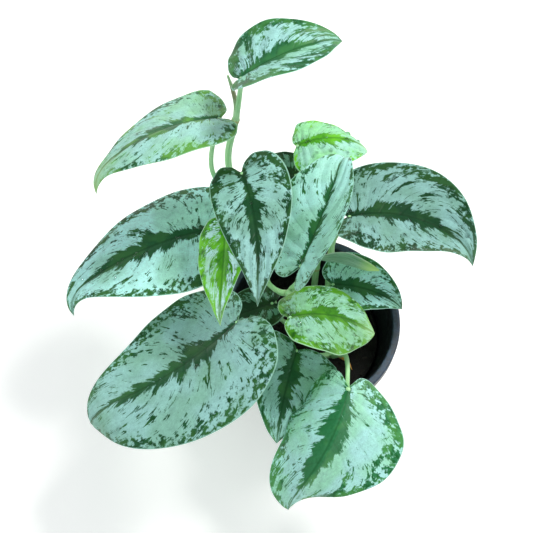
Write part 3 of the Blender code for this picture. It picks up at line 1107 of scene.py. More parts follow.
@dataclass
class Blade:
    """One open blade: two faces that meet in a thin margin, with a rib underneath."""

    plan: LeafPlan
    thickness: float = 0.7         # this and the next sizes are millimetres
    rib_radius: float = 1.0
    rib_width: float = 1.2
    groove: float = 0.45
    groove_width: float = 1.3
    quilting: float = 0.38
    wave: float = 0.5
    waves: Pair = (3.3, 7.1)       # waves of the margin along the blade
    rows: int = 88
    columns: int = 22
    crowding: float = 1.25         # above 1, columns lie closer together at the margin
    drop_radii: Pair = (0.6, 1.8)
    drop_height: float = 0.8       # in shares of the radius
    drop_rows: Pair = (0.12, 0.85)
    drop_sides: Pair = (-0.85, 0.85)
    unit_uv: float = 100.0         # millimetres in one unit of the flat UV map

    def __post_init__(self) -> None:
        """Line the surface up with the blade's node."""
        self.surface = BladeSurface(self.plan.shape)
        row, side = np.meshgrid(np.linspace(0, 1, 60), np.linspace(-1, 1, 41))
        points = self.surface.sample(row.ravel(), side.ravel())["point"]
        low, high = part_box("blade_" + self.plan.name)
        middle = np.array((low + high) / 2) / MM
        self.shift = middle - (points.min(0) + points.max(0)) / 2

    def notch(self) -> tuple[Array, Array, Array]:
        """Return the notch's place in millimetres, and the ways forward and up there."""
        forward, _, up = self.surface.frames(np.zeros(1))
        return self.shift, forward[0], up[0]

    def relief(self, row: Array, side: Array, reach: Array) -> Array:
        """Height of the quilting between the veins and of the wavy margin.

        Args:
            row: places along the blade.
            side: places across it.
            reach: distance from the midrib in millimetres.

        Returns:
            Heights in millimetres.
        """
        v = np.abs(side)
        quilt = np.cos(TURN * SIDE_VEINS * vein_at(row, v)) * np.sin(math.pi * v)
        phase = self.plan.seed * 1.7 + np.where(side > 0, 0.0, 2.1)
        long, short = self.waves
        margin = (np.sin(TURN * long * row + phase)
                  + 0.6 * np.sin(TURN * short * row + 2.3 * phase))
        ends = np.sin(math.pi * np.clip(row, 0, 1))
        return (self.quilting * quilt * smooth(0.02, 0.2, row) * smooth(0, 6, reach)
                + self.wave * margin * v ** 3 * ends)

    def level(self, row: Array, side: Array, face: int) -> dict[str, Array]:
        """Points of the upper (face 1) or lower (face -1) surface in millimetres.

        Args:
            row: places along the blade, from 0 to 1.
            side: places across it, from -1 to 1.
            face: 1 for the upper surface, -1 for the lower.

        Returns:
            What the surface says about these places, with each point moved to its own level.
        """
        found = self.surface.sample(row, side)
        reach = found["across"]
        half = face * self.thickness / 2 * np.sqrt(np.clip(1 - np.abs(side) ** 14, 0, 1))
        if face > 0:
            half = half - self.groove * bell(reach, 0, self.groove_width) * smooth(0, 0.06, row)
        else:
            fade = 1 - smooth(0.35, 1.0, found["along"] / self.plan.shape.length)
            half = half - (self.rib_radius * (0.25 + 0.75 * fade) * smooth(1.0, 0.9, row)
                           * bell(reach, 0, self.rib_width))
        lift = (self.relief(row, side, reach) + half)[:, None]
        found["point"] = found["point"] + found["normal"] * lift + self.shift
        return found

    def build(self) -> Piece:
        """Make the blade's piece.

        Returns:
            The piece.
        """
        bm, across, row = grid(2 * self.columns, self.rows)
        side = across * 2 - 1
        side = np.sign(side) * (1 - (1 - np.abs(side)) ** self.crowding)
        upper = self.level(row, side, 1)
        lower = self.level(row, side, -1)
        write_uv(bm, "vein", row, (side + 1) / 2)
        write_uv(bm, "flat", upper["along"] / self.unit_uv,
                 upper["across"] * np.sign(side) / self.unit_uv)
        count = len(bm.verts)
        copied = bmesh.ops.duplicate(bm, geom=bm.faces[:])
        for made in copied["geom"]:
            if isinstance(made, bmesh.types.BMFace):
                made.material_index = 1
        bm.verts.ensure_lookup_table()
        for index in range(count):
            vert = bm.verts[index]
            copied["vert_map"][vert].co = lower["point"][index] * MM
            vert.co = upper["point"][index] * MM
        for edge in bm.edges:
            if edge.is_boundary:
                edge.smooth = False
        name, age = self.plan.name, self.plan.age
        materials = [LEAF_FINISHES[age].material(self.plan),
                     UNDERSIDES[age].material("underside_" + name)]
        return finish_piece("leaf_" + name, sealed(bm), materials, ("blade_" + name,))

    def drops(self) -> Optional[Piece]:
        """Scatter water droplets over the upper side, if the leaf has any.

        Returns:
            The droplets' piece, or nothing for a dry leaf.
        """
        count = self.plan.drops
        if not count:
            return None
        draw = np.random.default_rng(self.plan.seed)
        bm = bmesh.new()
        found = self.level(draw.uniform(*self.drop_rows, count),
                           draw.uniform(*self.drop_sides, count), 1)
        least, most = self.drop_radii
        radii = (least + (most - least) * draw.uniform(0, 1, count) ** 2) * self.plan.drop_size
        for point, up, radius in zip(found["point"] * MM, found["normal"], radii * MM):
            turn = Vector(up).to_track_quat("Z", "Y").to_matrix().to_4x4()
            flatten = Matrix.Diagonal((radius, radius * draw.uniform(0.85, 1.1),
                                       radius * self.drop_height, 1.0))
            bmesh.ops.create_uvsphere(bm, u_segments=14, v_segments=8, radius=1.0,
                                      matrix=Matrix.Translation(point) @ turn @ flatten)
        return finish_piece("droplets_" + self.plan.name, bm, [water_material()])


# Where each stem stands in the mix, and the points that it passes over the rim, in
# millimetres.
STEMS: dict[str, tuple] = {
    "tall": ((-22, 18), (-30, 32, 8), (-41, 52, 42), (-49, 70, 74), (-44, 79, 106)),
    "middle": ((-8, 6), (-12, 10, -8), (-14, 13, 12), (-13, 4, 29)),
    "front": ((12, -14), (15, -18, -14), (18, -21, -2)),
    "back": ((4, 33), (4, 35, -4), (5, 41, 8), (5, 60, 18), (4, 84, 20)),
    "right": ((14, 22), (12, 31, -8), (13, 41, 9)),
    "left": ((-24, -16), (-30, -16, -6), (-35, -14, 12)),
}


@dataclass
class Stem:
    """One cutting's stem, with a swollen ring at every node. Sizes are millimetres."""

    name: str
    axils: list[float]
    radius: float = 2.2
    thinning: float = 0.12         # share of the radius that is lost on the way up
    sunk: float = 4.0
    first_rise: float = 3.3
    ring: float = 0.22
    scar_shift: float = 2.0
    foot: float = 14.0
    steps: int = 60

    def path(self) -> Array:
        """Return the stem's centre line in millimetres, from inside the mix.

        Returns:
            Points from its foot to its end.
        """
        ground, *passed = STEMS[self.name]
        foot = np.array([*ground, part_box("potting_mix")[1].z / MM])
        points = [foot - (0, 0, self.sunk), foot + (0, 0, self.first_rise)]
        points += [np.array(point) + (0, 0, rim_top()) for point in passed]
        return spline(np.array(points, float), np.linspace(0, 1, self.steps))

    def index_at(self, axil: float) -> int:
        """Find the point of the centre line that is nearest to a height over the rim."""
        return int(np.argmin(np.abs(self.path()[:, 2] - rim_top() - axil)))

    def nearest(self, axil: float) -> tuple[Array, Array]:
        """Find the place on the stem at a height over the rim.

        Args:
            axil: the height in millimetres.

        Returns:
            The centre and the stem's direction there.
        """
        path, index = self.path(), self.index_at(axil)
        ahead = path[min(index + 1, len(path) - 1)]
        return path[index], unit(ahead - path[max(index - 1, 0)])

    def build(self) -> Piece:
        """Make the stem's piece.

        Returns:
            The piece.
        """
        path = self.path()
        lengths = distances(path)
        radii = self.radius * (1 - self.thinning * lengths / lengths[-1])
        marks = [lengths[self.index_at(axil)] for axil in self.axils]
        for mark in marks:
            radii = radii * (1 + self.ring * bell(lengths, mark, 1.8))
        bm, reached = Tube(path, radii, sides=20).mesh()
        scars = [0.75 * bell(reached, mark + self.scar_shift, 0.55) for mark in marks]
        write_marks(bm, "scar", np.max(scars, axis=0))
        write_marks(bm, "foot", 0.8 * (1 - smooth(0, self.foot, reached)))
        name = "stalk_" + self.name
        return finish_piece(name, bm, [STALK.material(name)], ("stem_" + self.name,))


@dataclass
class Petiole:
    """Leaf stalk: clasps its stem, arches, and thickens again under the blade."""

    plan: LeafPlan
    stem: Stem
    blade: Blade
    radius: float = 1.6
    tip_radius: float = 1.25
    clasp: float = 0.30            # how much thicker it is at the stem, and at the elbow
    elbow: float = 0.16
    channel: float = 0.16
    handle: float = 0.35           # share of the way that each end bends over
    under_notch: float = 0.9
    past_notch: float = 0.6
    steps: int = 44

    def path(self) -> Array:
        """Return the stalk's centre line in millimetres.

        Returns:
            Points from the stem to the blade.
        """
        stalk = self.plan.stalk
        centre, along = self.stem.nearest(stalk.axil)
        way = np.array(stalk.leave, float)
        out = unit(way - along * np.dot(way, along))
        if stalk.axil >= STEMS[stalk.stem][-1][2]:
            foot, bend, lead = centre - along, centre + along * 1.5, along
        else:
            foot = centre + out * self.stem.radius * 0.5
            bend, lead = centre + out * (self.stem.radius + 1.5), unit(out + along)
        notch, forward, up = self.blade.notch()
        end = notch - up * self.under_notch + forward * self.past_notch
        span = np.linalg.norm(end - bend) * self.handle
        first = bend + lead * span
        last = end - unit(np.array(stalk.arrive, float)) * span
        u = np.linspace(0, 1, self.steps)[:, None]
        curve = (bend * (1 - u) ** 3 + first * 3 * u * (1 - u) ** 2
                 + last * 3 * u * u * (1 - u) + end * u ** 3)
        return np.vstack([foot, curve])

    def grooved(self, angle: Array, along: Array) -> Array:
        """Outline with a shallow channel along the upper side, closing near both ends."""
        open_part = smooth(0.02, 0.15, along) * smooth(1.0, 0.9, along)
        return 1 - self.channel * open_part * bell(angle, math.pi, 0.5)

    def build(self) -> Piece:
        """Make the petiole's piece.

        Returns:
            The piece.
        """
        path = self.path()
        lengths = distances(path)
        radii = self.radius + (self.tip_radius - self.radius) * np.linspace(0, 1, len(path))
        radii = radii * (1 + self.clasp * bell(lengths, 0, 5))
        radii = radii * (1 + self.elbow * bell(lengths, lengths[-1] - 2, 3.5))
        hint = tuple(-np.array(self.plan.stalk.leave, float) - (0, 0, 0.2))
        bm, reached = Tube(path, radii, sides=18, section=self.grooved, hint=hint).mesh()
        write_marks(bm, "scar", 0.35 * bell(reached, 3.0, 0.7))
        write_marks(bm, "foot", 0.25 * (1 - smooth(0, 10, reached)))
        name = "stalk_of_" + self.plan.name
        return finish_piece(name, bm, [STALK.material(name)],
                            ("petiole_" + self.plan.name,))


class SpikeKind(Enum):
    """What a slender growth on a stem is."""

    ROLLED = "rolled leaf"
    SHOOT = "new shoot"
    SHEATH = "dry sheath"


def scroll(angle: Array, along: Array) -> Array:
    """Outline of a rolled sheet: it grows round the turn and drops at the seam."""
    turn = angle / TURN
    return 0.90 + 0.16 * turn * smooth(1.0, 0.93, turn)


def wrinkled(angle: Array, along: Array) -> Array:
    """Flattened and creased outline of a dry scale."""
    return (1 - 0.45 * np.abs(np.sin(angle))) * (1 + 0.12 * np.sin(5 * angle + 9 * along))


@dataclass
class Spike:
    """A slender tapered growth: chosen points over the rim, and radii, in millimetres."""

    name: str
    kind: SpikeKind
    stem: Stem
    axil: float
    points: tuple[Point, ...]
    radii: tuple[float, ...]
    steps: int = 60

    def build(self) -> Piece:
        """Make the growth's piece.

        Returns:
            The piece.
        """
        centre, _ = self.stem.nearest(self.axil)
        passed = [np.array(point, float) + (0, 0, rim_top()) for point in self.points]
        share = np.linspace(0, 1, self.steps)
        path = spline(np.array([centre] + passed), share)
        radii = spline(np.array(self.radii, float)[:, None], share)[:, 0]
        rolled = self.kind is SpikeKind.ROLLED
        finish, slot, section = SPIKE_LOOKS[self.kind]
        bm, reached = Tube(path, radii, sides=36 if rolled else 18, section=section).mesh()
        along = reached / reached.max()
        shoot = float(self.kind is SpikeKind.SHOOT)
        write_marks(bm, "scar", 0.7 * shoot * bell(along, 0.55, 0.16))
        write_marks(bm, "foot", float(rolled) * smooth(0.80, 0.95, along))
        return finish_piece(self.name + "_grown", bm, [finish.material(self.name + "_skin")],
                            (self.name,))


@dataclass
class NurseryPot:
    """Tapered pot with a hooked rim, spun as one wall, with drain holes in its floor.

    Sizes are millimetres.
    """

    wall: float = 1.5
    floor: float = 2.0
    base_radius: float = 38.0
    foot_round: float = 1.2
    rim_width: float = 4.5
    rim_round: float = 1.3
    lip_round: float = 1.0
    skirt: float = 11.0
    bead: float = 0.35             # a bead outside under the rim, and a ledge inside
    ledge: float = 0.25
    segments: int = 160
    hole_radius: float = 4.0
    hole_ring: float = 26.0
    hole_count: int = 6
    cut_depth: float = 12.0
    crease: float = 50.0           # degrees

    @staticmethod
    def arc(x: float, z: float, size: float, start: float, end: float) -> list[Pair]:
        """Points of a rounded corner round (x, z), from one angle to another."""
        return [(x + size * math.cos(turn), z + size * math.sin(turn))
                for turn in np.radians(np.linspace(start, end, 6))]

    def outline(self) -> list[Pair]:
        """Return the wall's cross-section as (radius, height) in millimetres.

        Returns:
            The cross-section's points, in order.
        """
        radius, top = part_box("nursery_pot")[1].x / MM, rim_top()
        bore = radius - self.rim_width
        inner_base = self.base_radius - self.wall
        hook = radius - self.wall
        under, hem = top - self.wall, top - self.skirt

        def wall_at(outside: float, *heights: float) -> list[Pair]:
            """Points at some distance outside the tapered inner wall."""
            return [(inner_base + (bore - inner_base) * height / top + outside, height)
                    for height in heights]

        return [
            (0.0, 1.0), (self.hole_ring + 6, 1.0), (self.hole_ring + 7, 0.0),
            (self.base_radius - 2.0, 0.0),
            *self.arc(self.base_radius - self.foot_round, self.foot_round, self.foot_round, -90, -5),
            *wall_at(self.wall, 8.0, 20.0, 34.0, 48.0, 62.0, 70.0),
            *wall_at(self.wall + self.bead, 71.0, 73.0), *wall_at(self.wall, 74.0),
            (bore + self.wall, under - 2.0), (bore + self.wall + 0.8, under),
            (hook - 0.8, under), (hook, under - 0.8), (hook, hem + 0.4), (hook + 0.5, hem),
            (radius - 0.4, hem), (radius, hem + 0.5), (radius - 0.05, top - 4.0),
            *self.arc(radius - self.rim_round, top - self.rim_round, self.rim_round, 0, 90),
            (bore + 2.2, top - 0.15),
            *self.arc(bore + self.lip_round, top - 1.1, self.lip_round, 95, 180),
            *wall_at(0.0, 80.0), *wall_at(-self.ledge, 79.0, 77.5),
            *wall_at(0.0, 76.5, 62.0, 45.0, 28.0, 12.0, 5.0),
            (inner_base - 1.2, self.floor), (0.0, self.floor),
        ]

    def build(self) -> Piece:
        """Make the pot's piece.

        Returns:
            The piece.
        """
        bm = spun([(radius * MM, height * MM) for radius, height in self.outline()],
                  self.segments)
        material = POT.material("black_plastic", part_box("nursery_pot")[1].z)
        pot = finish_piece("pot", bm, [material], ("nursery_pot",))
        cutter = self.cutter()
        cut = pot.modifiers.new("drain_holes", "BOOLEAN")
        cut.solver = "EXACT"
        cut.object = cutter
        bpy.context.view_layer.update()
        graph = bpy.context.evaluated_depsgraph_get()
        drilled = bpy.data.meshes.new_from_object(pot.evaluated_get(graph))
        pot.modifiers.clear()
        pot.data = drilled
        bpy.data.objects.remove(cutter)
        for polygon in drilled.polygons:
            polygon.use_smooth = True
        drilled.set_sharp_from_angle(angle=math.radians(self.crease))
        return pot

    def cutter(self) -> Piece:
        """Make the cylinders that cut the drain holes.

        Returns:
            The cylinders, as one object.
        """
        bm = bmesh.new()
        radius, ring = self.hole_radius * MM, self.hole_ring * MM
        for index in range(self.hole_count):
            angle = TURN * (index + 0.5) / self.hole_count
            centre = (ring * math.cos(angle), ring * math.sin(angle), 0)
            bmesh.ops.create_cone(bm, cap_ends=True, segments=32, depth=self.cut_depth * MM,
                                  radius1=radius, radius2=radius,
                                  matrix=Matrix.Translation(centre))
        return add_object("drain_cutter", bm)


@dataclass
class PottingMix:
    """Dark mix, partly its own damp colour and partly painted shade: a crumbly surface with bark
    chips and a few bits of perlite.

    Sizes are metres.
    """

    seed: int = 11
    segments: int = 120
    rings: int = 46
    bark_count: int = 420
    perlite_count: int = 16
    shrink: float = 0.0012
    dish: float = 0.003
    dish_start: float = 0.030
    lumps: float = 0.0011
    lump_scale: float = 160.0
    sunk: float = 0.0006           # how far the surface lies under the node's top
    foot_gap: float = 0.0045       # between the plug's foot and the node's side
    foot_radius: float = 0.036     # the most that the foot measures
    shoulder: float = 0.004        # how far under the top the side ends
    top_band: float = 0.0005       # what lies this near the top gets the lumps
    wall_gaps: Pair = (0.003, 0.004)       # from the wall to the bark and the perlite
    bark_sizes: Pair = (0.0007, 0.003)
    bark_lengths: Pair = (1.2, 2.4)        # in shares of its size, as is its thickness
    bark_thickness: Pair = (0.3, 0.6)
    bark_tilt: float = 0.4                 # radians
    perlite_sizes: Pair = (0.0006, 0.0015)
    roughness: Pair = (0.12, 0.10)         # how far corners of bark and perlite stray

    def __post_init__(self) -> None:
        """Read the height and the radius of the mix's top."""
        self.low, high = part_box("potting_mix")
        self.radius = high.x - self.shrink
        self.top = high.z

    def height(self, x: float, y: float) -> float:
        """Height of the crumbly surface at a place.

        Args:
            x: the place across, in metres.
            y: the place from front to back, in metres.

        Returns:
            The height in metres.
        """
        out = max(0.0, (math.hypot(x, y) - self.dish_start) / (self.radius - self.dish_start))
        lumps = noise.fractal(Vector((x, y, 0.3)) * self.lump_scale, 0.7, 2.1, 4)
        return self.top - self.dish * out ** 2 + self.lumps * lumps - self.sunk

    def build(self) -> list[Piece]:
        """Make the surface, the bark and the perlite."""
        return [self.build_ground(), self.build_bark(), self.build_perlite()]

    def build_ground(self) -> Piece:
        """Make the crumbly plug.

        Returns:
            The piece.
        """
        foot = min(-self.low.x - self.foot_gap, self.foot_radius)
        profile = [(0.0, self.low.z), (foot, self.low.z),
                   (self.radius, self.top - self.shoulder)]
        profile += [(self.radius * (1 - ring / self.rings), self.top)
                    for ring in range(self.rings + 1)]
        bm = spun(profile, self.segments)
        for vert in bm.verts:
            if vert.co.z > self.top - self.top_band:
                vert.co.z = self.height(vert.co.x, vert.co.y)
        return finish_piece("mix_ground", bm, [GROUND.material("damp_mix_and_painted_shade")],
                            ("potting_mix",))

    def scatter(self, draw: np.random.Generator, edge: float, lift: float) -> Matrix:
        """Draw a place on the surface.

        Args:
            draw: the source of chance.
            edge: how far it stays from the wall.
            lift: how far it is raised.

        Returns:
            The move to that place.
        """
        radius = (self.radius - edge) * math.sqrt(draw.uniform(0, 1))
        angle = draw.uniform(0, TURN)
        x, y = radius * math.cos(angle), radius * math.sin(angle)
        return Matrix.Translation((x, y, self.height(x, y) + lift))

    def build_bark(self) -> Piece:
        """Make the bark chips.

        Returns:
            The piece.
        """
        draw = np.random.default_rng(self.seed)
        bm = bmesh.new()
        for _ in range(self.bark_count):
            size = draw.uniform(*self.bark_sizes)
            place = self.scatter(draw, self.wall_gaps[0], size * 0.1)
            turn = Euler((draw.normal(0, self.bark_tilt), draw.normal(0, self.bark_tilt),
                          draw.uniform(0, 6.3)))
            stretch = Matrix.Diagonal((size * draw.uniform(*self.bark_lengths), size,
                                       size * draw.uniform(*self.bark_thickness), 1.0))
            made = bmesh.ops.create_cube(bm, size=1.0,
                                         matrix=place @ turn.to_matrix().to_4x4() @ stretch)
            for vert in made["verts"]:
                vert.co += Vector(draw.normal(0, self.roughness[0], 3)) * size
        bark = finish_piece("bark", bm, [BARK.material("bark")])
        for polygon in bark.data.polygons:
            polygon.use_smooth = False
        return bark

    def build_perlite(self) -> Piece:
        """Make the perlite.

        Returns:
            The piece.
        """
        draw = np.random.default_rng(self.seed + 1)
        bm = bmesh.new()
        for _ in range(self.perlite_count):
            size = draw.uniform(*self.perlite_sizes)
            place = self.scatter(draw, self.wall_gaps[1], size * 0.4)
            made = bmesh.ops.create_icosphere(bm, subdivisions=2, radius=size, matrix=place)
            for vert in made["verts"]:
                vert.co += Vector(draw.normal(0, self.roughness[1], 3)) * size
        return finish_piece("perlite", bm, [PERLITE.material("perlite")])


# ---------------------------------------------------------------------------- choices


def palette(codes: str) -> list[Colour]:
    """Turn display colours, written one after another, into linear ones."""
    return [linear(code) for code in codes.split()]


LEAF_FINISHES: dict[Age, SatinFinish] = {
    Age.MATURE: SatinFinish(*palette("9cd0cb 124c22 22603a 5ea24c 96c8a0"), 0.16, 0.2),
    Age.PALE: SatinFinish(*palette("9ed2c8 1e5428 306c42 78bc4e aad88c"), 0.36, 0.8),
    Age.YOUNG: SatinFinish(*palette("92c8b4 226212 48961a 70c228 aad892"), 0.44, 0.45),
    # SHADED: darker upper colours, painted shade for leaves in shade
    Age.SHADED: SatinFinish(*palette("709e8e 123218 20462a 467230 78a078"), 0.1, 0.2),
}
UNDERSIDES: dict[Age, UndersideFinish] = {
    Age.MATURE: UndersideFinish(*palette("a8ceb0 7cac88")),
    Age.PALE: UndersideFinish(*palette("b2d8aa 8aba80")),
    Age.YOUNG: UndersideFinish(*palette("badea0 92c46c")),
    # SHADED: darker underside colours, painted shade for leaves in shade
    Age.SHADED: UndersideFinish(*palette("96bc96 6e9670")),
}
STALK = StalkFinish(*palette("c8f6c2 8ed68a be9654 78824a"))
SHOOT = StalkFinish(*palette("acd0a0 7eaa70 96745c c4e2b2"))
ROLLED = StalkFinish(*palette("96c4a8 609270 96745c b0de82"))
SHEATH = MottledFinish(*palette("e8b054 9c5c28"), (1.0, 4.0), (0.7, 0.9), 0.6, 0.0004,
                       (2.0, 30.0))
# black, worn, and the rim's dust and painted highlight
POT = PotFinish(*palette("0f1114 22282e 3a4c60"))
# The mix and the bark are very dark: partly their own damp colour, partly painted shade for the
# shade inside the pot.
GROUND = MottledFinish(*palette("0f0d0b 060505"), (220.0, 1400.0), (0.80, 0.95))
BARK = MottledFinish(*palette("1d1611 0c0908"), (160.0, 1100.0), (0.77, 0.92))
PERLITE = MottledFinish(*palette("dedcd4 b0aca0"), (300.0, 2000.0), (0.75, 0.90))
SPIKE_LOOKS: dict[SpikeKind, tuple] = {
    SpikeKind.ROLLED: (ROLLED, "young_blade", scroll),
    SpikeKind.SHOOT: (SHOOT, "stem", None),
    SpikeKind.SHEATH: (SHEATH, "sheath", wrinkled),
}

# Shapes are millimetres and degrees. The seed, the silver share and the width of the band
# follow each stalk.
# A leaf's last pair brightens or darkens its silver and its green: partly its own tone, partly
# painted light and shade.
PLANS: tuple[LeafPlan, ...] = (
    LeafPlan("top", BladeShape(26, 61, (29, 26), rise=25, droop=51, hook=8, swing=-2,
        tip_swing=-13, roll=-41, twist=24, fold=(11, 14), cup=(4, -11), spread=(14, -10),
        lobe=0.45), Stalk("tall", 106, (0.3, 0, 1), (0.1, 0.1, 1)), 1, 0.51, 0.15,
        bright=(0.97, 1.2)),
    LeafPlan("upper_left", BladeShape(189, 86, (30, 33), rise=13, droop=42, hook=16, swing=35,
        tip_swing=63, roll=37, twist=2, fold=(11, 9), cup=(-30, 1), spread=(-22, -24),
        lobe=0.45, belly=(-0.1, -0.1), full=(-0.2, -0.2)), Stalk("tall", 60, (-0.7, 0.2, 0.7),
        (0.2, 0.2, 0.9)), 2, 0.68, 0.15, age=Age.PALE),
    LeafPlan("left", BladeShape(190, 104, (37, 37), rise=-5, droop=15, hook=23, swing=28,
        tip_swing=84, roll=6, twist=16, fold=(7, 7), cup=(-18, -32), spread=(7, -8), lobe=1.0,
        full=(-0.3, -0.3)), Stalk("tall", 6, (-1, -0.2, 0.2), (-0.6, 0, 0.8)), 3, 0.68, 0.16,
        drops=60, bright=(1.4, 0.88)),
    LeafPlan("centre", BladeShape(288, 83, (24, 21), rise=22, droop=34, hook=17, swing=-24,
        tip_swing=6, roll=13, twist=7, fold=(9, 8), cup=(-12, -7), spread=(4, -3), lobe=0.7,
        belly=(-0.1, -0.1), full=(-0.15, -0.15)), Stalk("tall", 38, (0.5, -1, 0.1),
        (0, 0.1, 1)), 4, 0.60, 0.11, drops=14, bright=(0.88, 0.55)),
    LeafPlan("centre_right", BladeShape(61, 76, (33, 22), rise=30, droop=44, hook=50, swing=17,
        tip_swing=-28, roll=-50, twist=32, fold=(6, 6), cup=(5, 5), spread=(14, 14), lobe=0.95,
        belly=(0.15, 0.15), full=(0.05, 0.05)), Stalk("middle", 19, (0.6, 1, 0.1),
        (-0.1, -0.25, 1)), 5, 0.76, 0.10, drops=12, bright=(1.24, 1.0)),
    LeafPlan("right", BladeShape(10, 85, (36, 34), rise=11, hook=28, swing=-73, tip_swing=-25,
        roll=-27, twist=38, fold=(18, 18), cup=(-18, -18), spread=(8, 0), lobe=0.65,
        belly=(0.05, 0.05), full=(-0.3, -0.3)), Stalk("right", 9, (0.3, 0.3, 1), (0.1, 0.1, 1)),
        6, 0.64, 0.15, drops=14, bright=(0.72, 0.5)),
    LeafPlan("back_young", BladeShape(10, 54, (22, 22), rise=37, droop=104, swing=-13, roll=-12,
        twist=-9, fold=(-8, -7), cup=(-6, -17), spread=(-14, -5), lobe=0.45,
        belly=(0.05, 0.05)), Stalk("back", 20, (0, 0.5, 1), (-0.4, 0.1, 0.9)), 7, 0.76, 0.20,
        age=Age.YOUNG, drops=22, drop_size=1.25, bright=(1.2, 1.3)),
    LeafPlan("back_shaded", BladeShape(160, 30, (14, 14), rise=8, droop=20), Stalk("back", -2,
        (-1, 0, 0.3), (-0.3, 0.3, 1)), 8, 0.45, 0.22, age=Age.SHADED),
    LeafPlan("rim_right", BladeShape(-6, 46, (21, 19), rise=18, droop=36, hook=20, swing=-27,
        tip_swing=-12, roll=-5, twist=-3, fold=(12, 13), cup=(-9, -9), spread=(2, 5), lobe=0.9),
        Stalk("right", -14, (0.2, -1, 0.2), (-0.2, -0.1, 1)), 9, 0.60, 0.22, bright=(1.3, 1.0)),
    LeafPlan("young_left", BladeShape(269, 61, (19, 19), rise=15, droop=29, hook=9, swing=-4,
        tip_swing=11, roll=33, twist=8, fold=(7, 5), cup=(-13, -12), spread=(8, 0), lobe=0.85,
        belly=(-0.05, -0.05), full=(-0.1, -0.1)), Stalk("middle", 12, (-1, 0.1, 0.2),
        (-0.8, 0.1, 0.5)), 10, 0.47, 0.16, age=Age.YOUNG, bright=(2.2, 1.5)),
    LeafPlan("largest", BladeShape(223, 106, (52, 50), rise=-10, droop=3, hook=50, swing=-29,
        tip_swing=37, roll=45, twist=-25, fold=(3, 1), cup=(-29, 16), spread=(-12, -7),
        lobe=0.7, belly=(-0.05, -0.05), full=(0.4, 0.4)), Stalk("left", 12, (-0.2, -0.3, 1),
        (-0.1, -0.4, 0.9)), 11, 0.73, 0.14, drops=24, bright=(0.85, 0.72)),
    LeafPlan("young_front", BladeShape(14, 59, (27, 27), rise=2, droop=56, hook=3, swing=-37,
        tip_swing=25, roll=-42, twist=26, fold=(0, 3), cup=(-2, -23), spread=(4, -22),
        lobe=0.45, belly=(0.1, 0.1), full=(0.1, 0.1)), Stalk("middle", 29, (-0.2, -0.6, 0.8),
        (0.1, -0.15, 1)), 12, 0.60, 0.15, age=Age.YOUNG, drops=20, bright=(0.95, 0.72)),
    LeafPlan("front_shaded", BladeShape(252, 58, (29, 26), rise=11, droop=38, hook=10, swing=10,
        tip_swing=5, roll=-23, twist=-4, fold=(10, 12), cup=(-6, -7), spread=(0, 4), lobe=0.45),
        Stalk("front", -16, (-1, -0.1, 0.2), (-0.1, -0.1, 1)), 13, 0.64, 0.20),
    LeafPlan("front", BladeShape(258, 88, (52, 44), rise=12, droop=84, hook=-5, swing=-44,
        tip_swing=45, roll=-12, twist=-4, fold=(-48, -48), cup=(35, -40), spread=(11, 15),
        lobe=1.1, belly=(0.18, 0.9), full=(-0.3, -0.05)), Stalk("front", -2, (0, -0.3, 1),
        (0, -0.4, 0.9)), 14, 0.68, 0.20, bright=(1.12, 1.55)),
    LeafPlan("inner_shaded", BladeShape(200, 44, (14, 14), rise=6, droop=12), Stalk("middle",
        -20, (-1, -0.8, 0.2), (-0.3, 0.2, 1)), 15, 0.45, 0.24, age=Age.SHADED),
)


class PottedPothos:
    """The whole plant in its pot."""

    def build(self) -> list[Piece]:
        """Build every piece of the plant.

        Returns:
            The pieces.
        """
        stems = {name: Stem(name, [plan.stalk.axil for plan in PLANS if plan.stalk.stem == name])
                 for name in STEMS}
        pieces = [NurseryPot().build(), *PottingMix().build()]
        pieces += [stem.build() for stem in stems.values()]
        for plan in PLANS:
            blade = Blade(plan)
            pieces += [blade.build(), Petiole(plan, stems[plan.stalk.stem], blade).build(),
                       blade.drops()]
        pieces += [spike.build() for spike in self.spikes(stems)]
        return [piece for piece in pieces if piece]

    def spikes(self, stems: dict[str, Stem]) -> list[Spike]:
        """Return the rolled leaf, the new shoot and the dry sheaths.

        Args:
            stems: the stems by their names.

        Returns:
            The growths, which are still to be built.
        """
        return [
            Spike("rolled_leaf", SpikeKind.ROLLED, stems["middle"], 6,
                  ((1, 26, 30), (10, 26, 37), (20, 24, 40), (31, 19, 41), (38, 17, 40)),
                  (1.3, 1.4, 2.6, 3.8, 2.8, 0.7)),
            Spike("new_shoot", SpikeKind.SHOOT, stems["tall"], 98,
                  ((-44, 87, 105), (-45, 87, 122), (-47, 83, 143)), (1.3, 1.3, 1.2, 0.6)),
            Spike("middle_sheath", SpikeKind.SHEATH, stems["middle"], 14,
                  ((-10, 17, 18), (-8, 18, 26)), (1.4, 1.1, 0.3)),
            Spike("front_sheath", SpikeKind.SHEATH, stems["front"], -10,
                  ((22, -26, -2), (24, -32, 2)), (1.4, 1.1, 0.3)),
        ]


@dataclass(frozen=True)
class Lamp:
    """A square soft light: its place in metres, its side, its power and its colour."""

    name: str
    place: Point
    size: float
    power: float
    colour: Colour


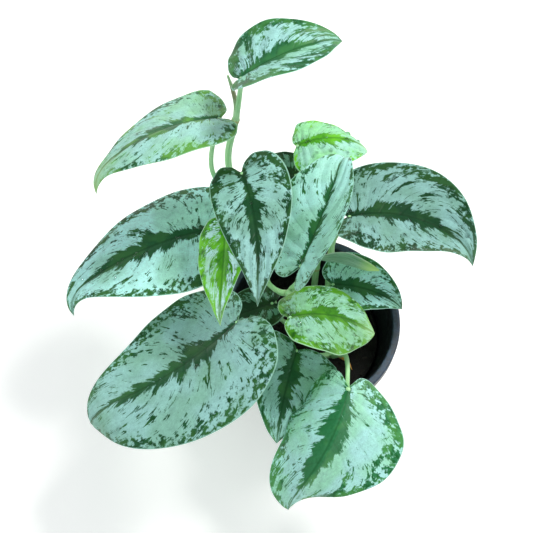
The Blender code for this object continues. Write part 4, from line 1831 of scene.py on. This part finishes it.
@dataclass
class Studio:
    """Pale floor, soft light and the camera. Sizes are metres, angles are degrees."""

    lamps: tuple[Lamp, ...] = (
        Lamp("key", (0.45, 0.38, 1.10), 0.30, 10.5, (1.0, 0.985, 0.95)),
        Lamp("fill", (-0.80, -0.70, 0.90), 1.2, 3.0, (0.92, 0.97, 1.0)))
    aim: Point = (0.0, 0.0, 0.12)
    sky: Colour = (0.95, 0.98, 1.0)
    sky_strength: float = 0.56
    camera_place: Point = (-0.0272, -0.1984, 0.6688)
    camera_tilt: float = 22.0
    camera_view: float = 30.0
    floor_size: float = 4.0
    floor_colour: Colour = (0.95, 0.95, 0.94)
    floor_rough: float = 0.8
    floor_glow: float = 0.32

    def build(self) -> None:
        """Set up the floor, the world, the lights and the camera."""
        bm = bmesh.new()
        bmesh.ops.create_grid(bm, x_segments=1, y_segments=1, size=self.floor_size)
        floor = add_object("floor", bm)
        floor.data.materials.append(
            floor_material(self.floor_colour, self.floor_rough, self.floor_glow))
        world = bpy.data.worlds.new("studio")
        world.use_nodes = True
        background = world.node_tree.nodes["Background"]
        background.inputs["Color"].default_value = (*self.sky, 1.0)
        background.inputs["Strength"].default_value = self.sky_strength
        bpy.context.scene.world = world
        for lamp in self.lamps:
            self.add_lamp(lamp)
        self.add_camera()

    def add_lamp(self, lamp: Lamp) -> None:
        """Add a light that faces the plant.

        Args:
            lamp: its place, side, power and colour.
        """
        data = bpy.data.lights.new(lamp.name, "AREA")
        data.size = lamp.size
        data.energy = lamp.power
        data.color = lamp.colour
        light = bpy.data.objects.new(lamp.name, data)
        light.location = lamp.place
        way = Vector(self.aim) - Vector(lamp.place)
        light.rotation_euler = way.to_track_quat("-Z", "Y").to_euler()
        bpy.context.scene.collection.objects.link(light)

    def add_camera(self) -> None:
        """Add the camera, looking steeply down from the front."""
        data = bpy.data.cameras.new("camera")
        data.sensor_width = 36.0
        data.angle = math.radians(self.camera_view)
        data.clip_start = 0.01
        camera = bpy.data.objects.new("camera", data)
        camera.location = self.camera_place
        camera.rotation_euler = (math.radians(self.camera_tilt), 0.0, 0.0)
        bpy.context.scene.collection.objects.link(camera)
        bpy.context.scene.camera = camera


def main() -> None:
    """Load the frame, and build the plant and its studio."""
    logging.basicConfig(level=logging.INFO, format="%(name)s: %(message)s")
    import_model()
    bpy.context.scene.view_settings.view_transform = "Standard"
    pieces = PottedPothos().build()
    Studio().build()
    LOG.info("%d pieces", len(pieces))


if __name__ == "__main__":
    main()
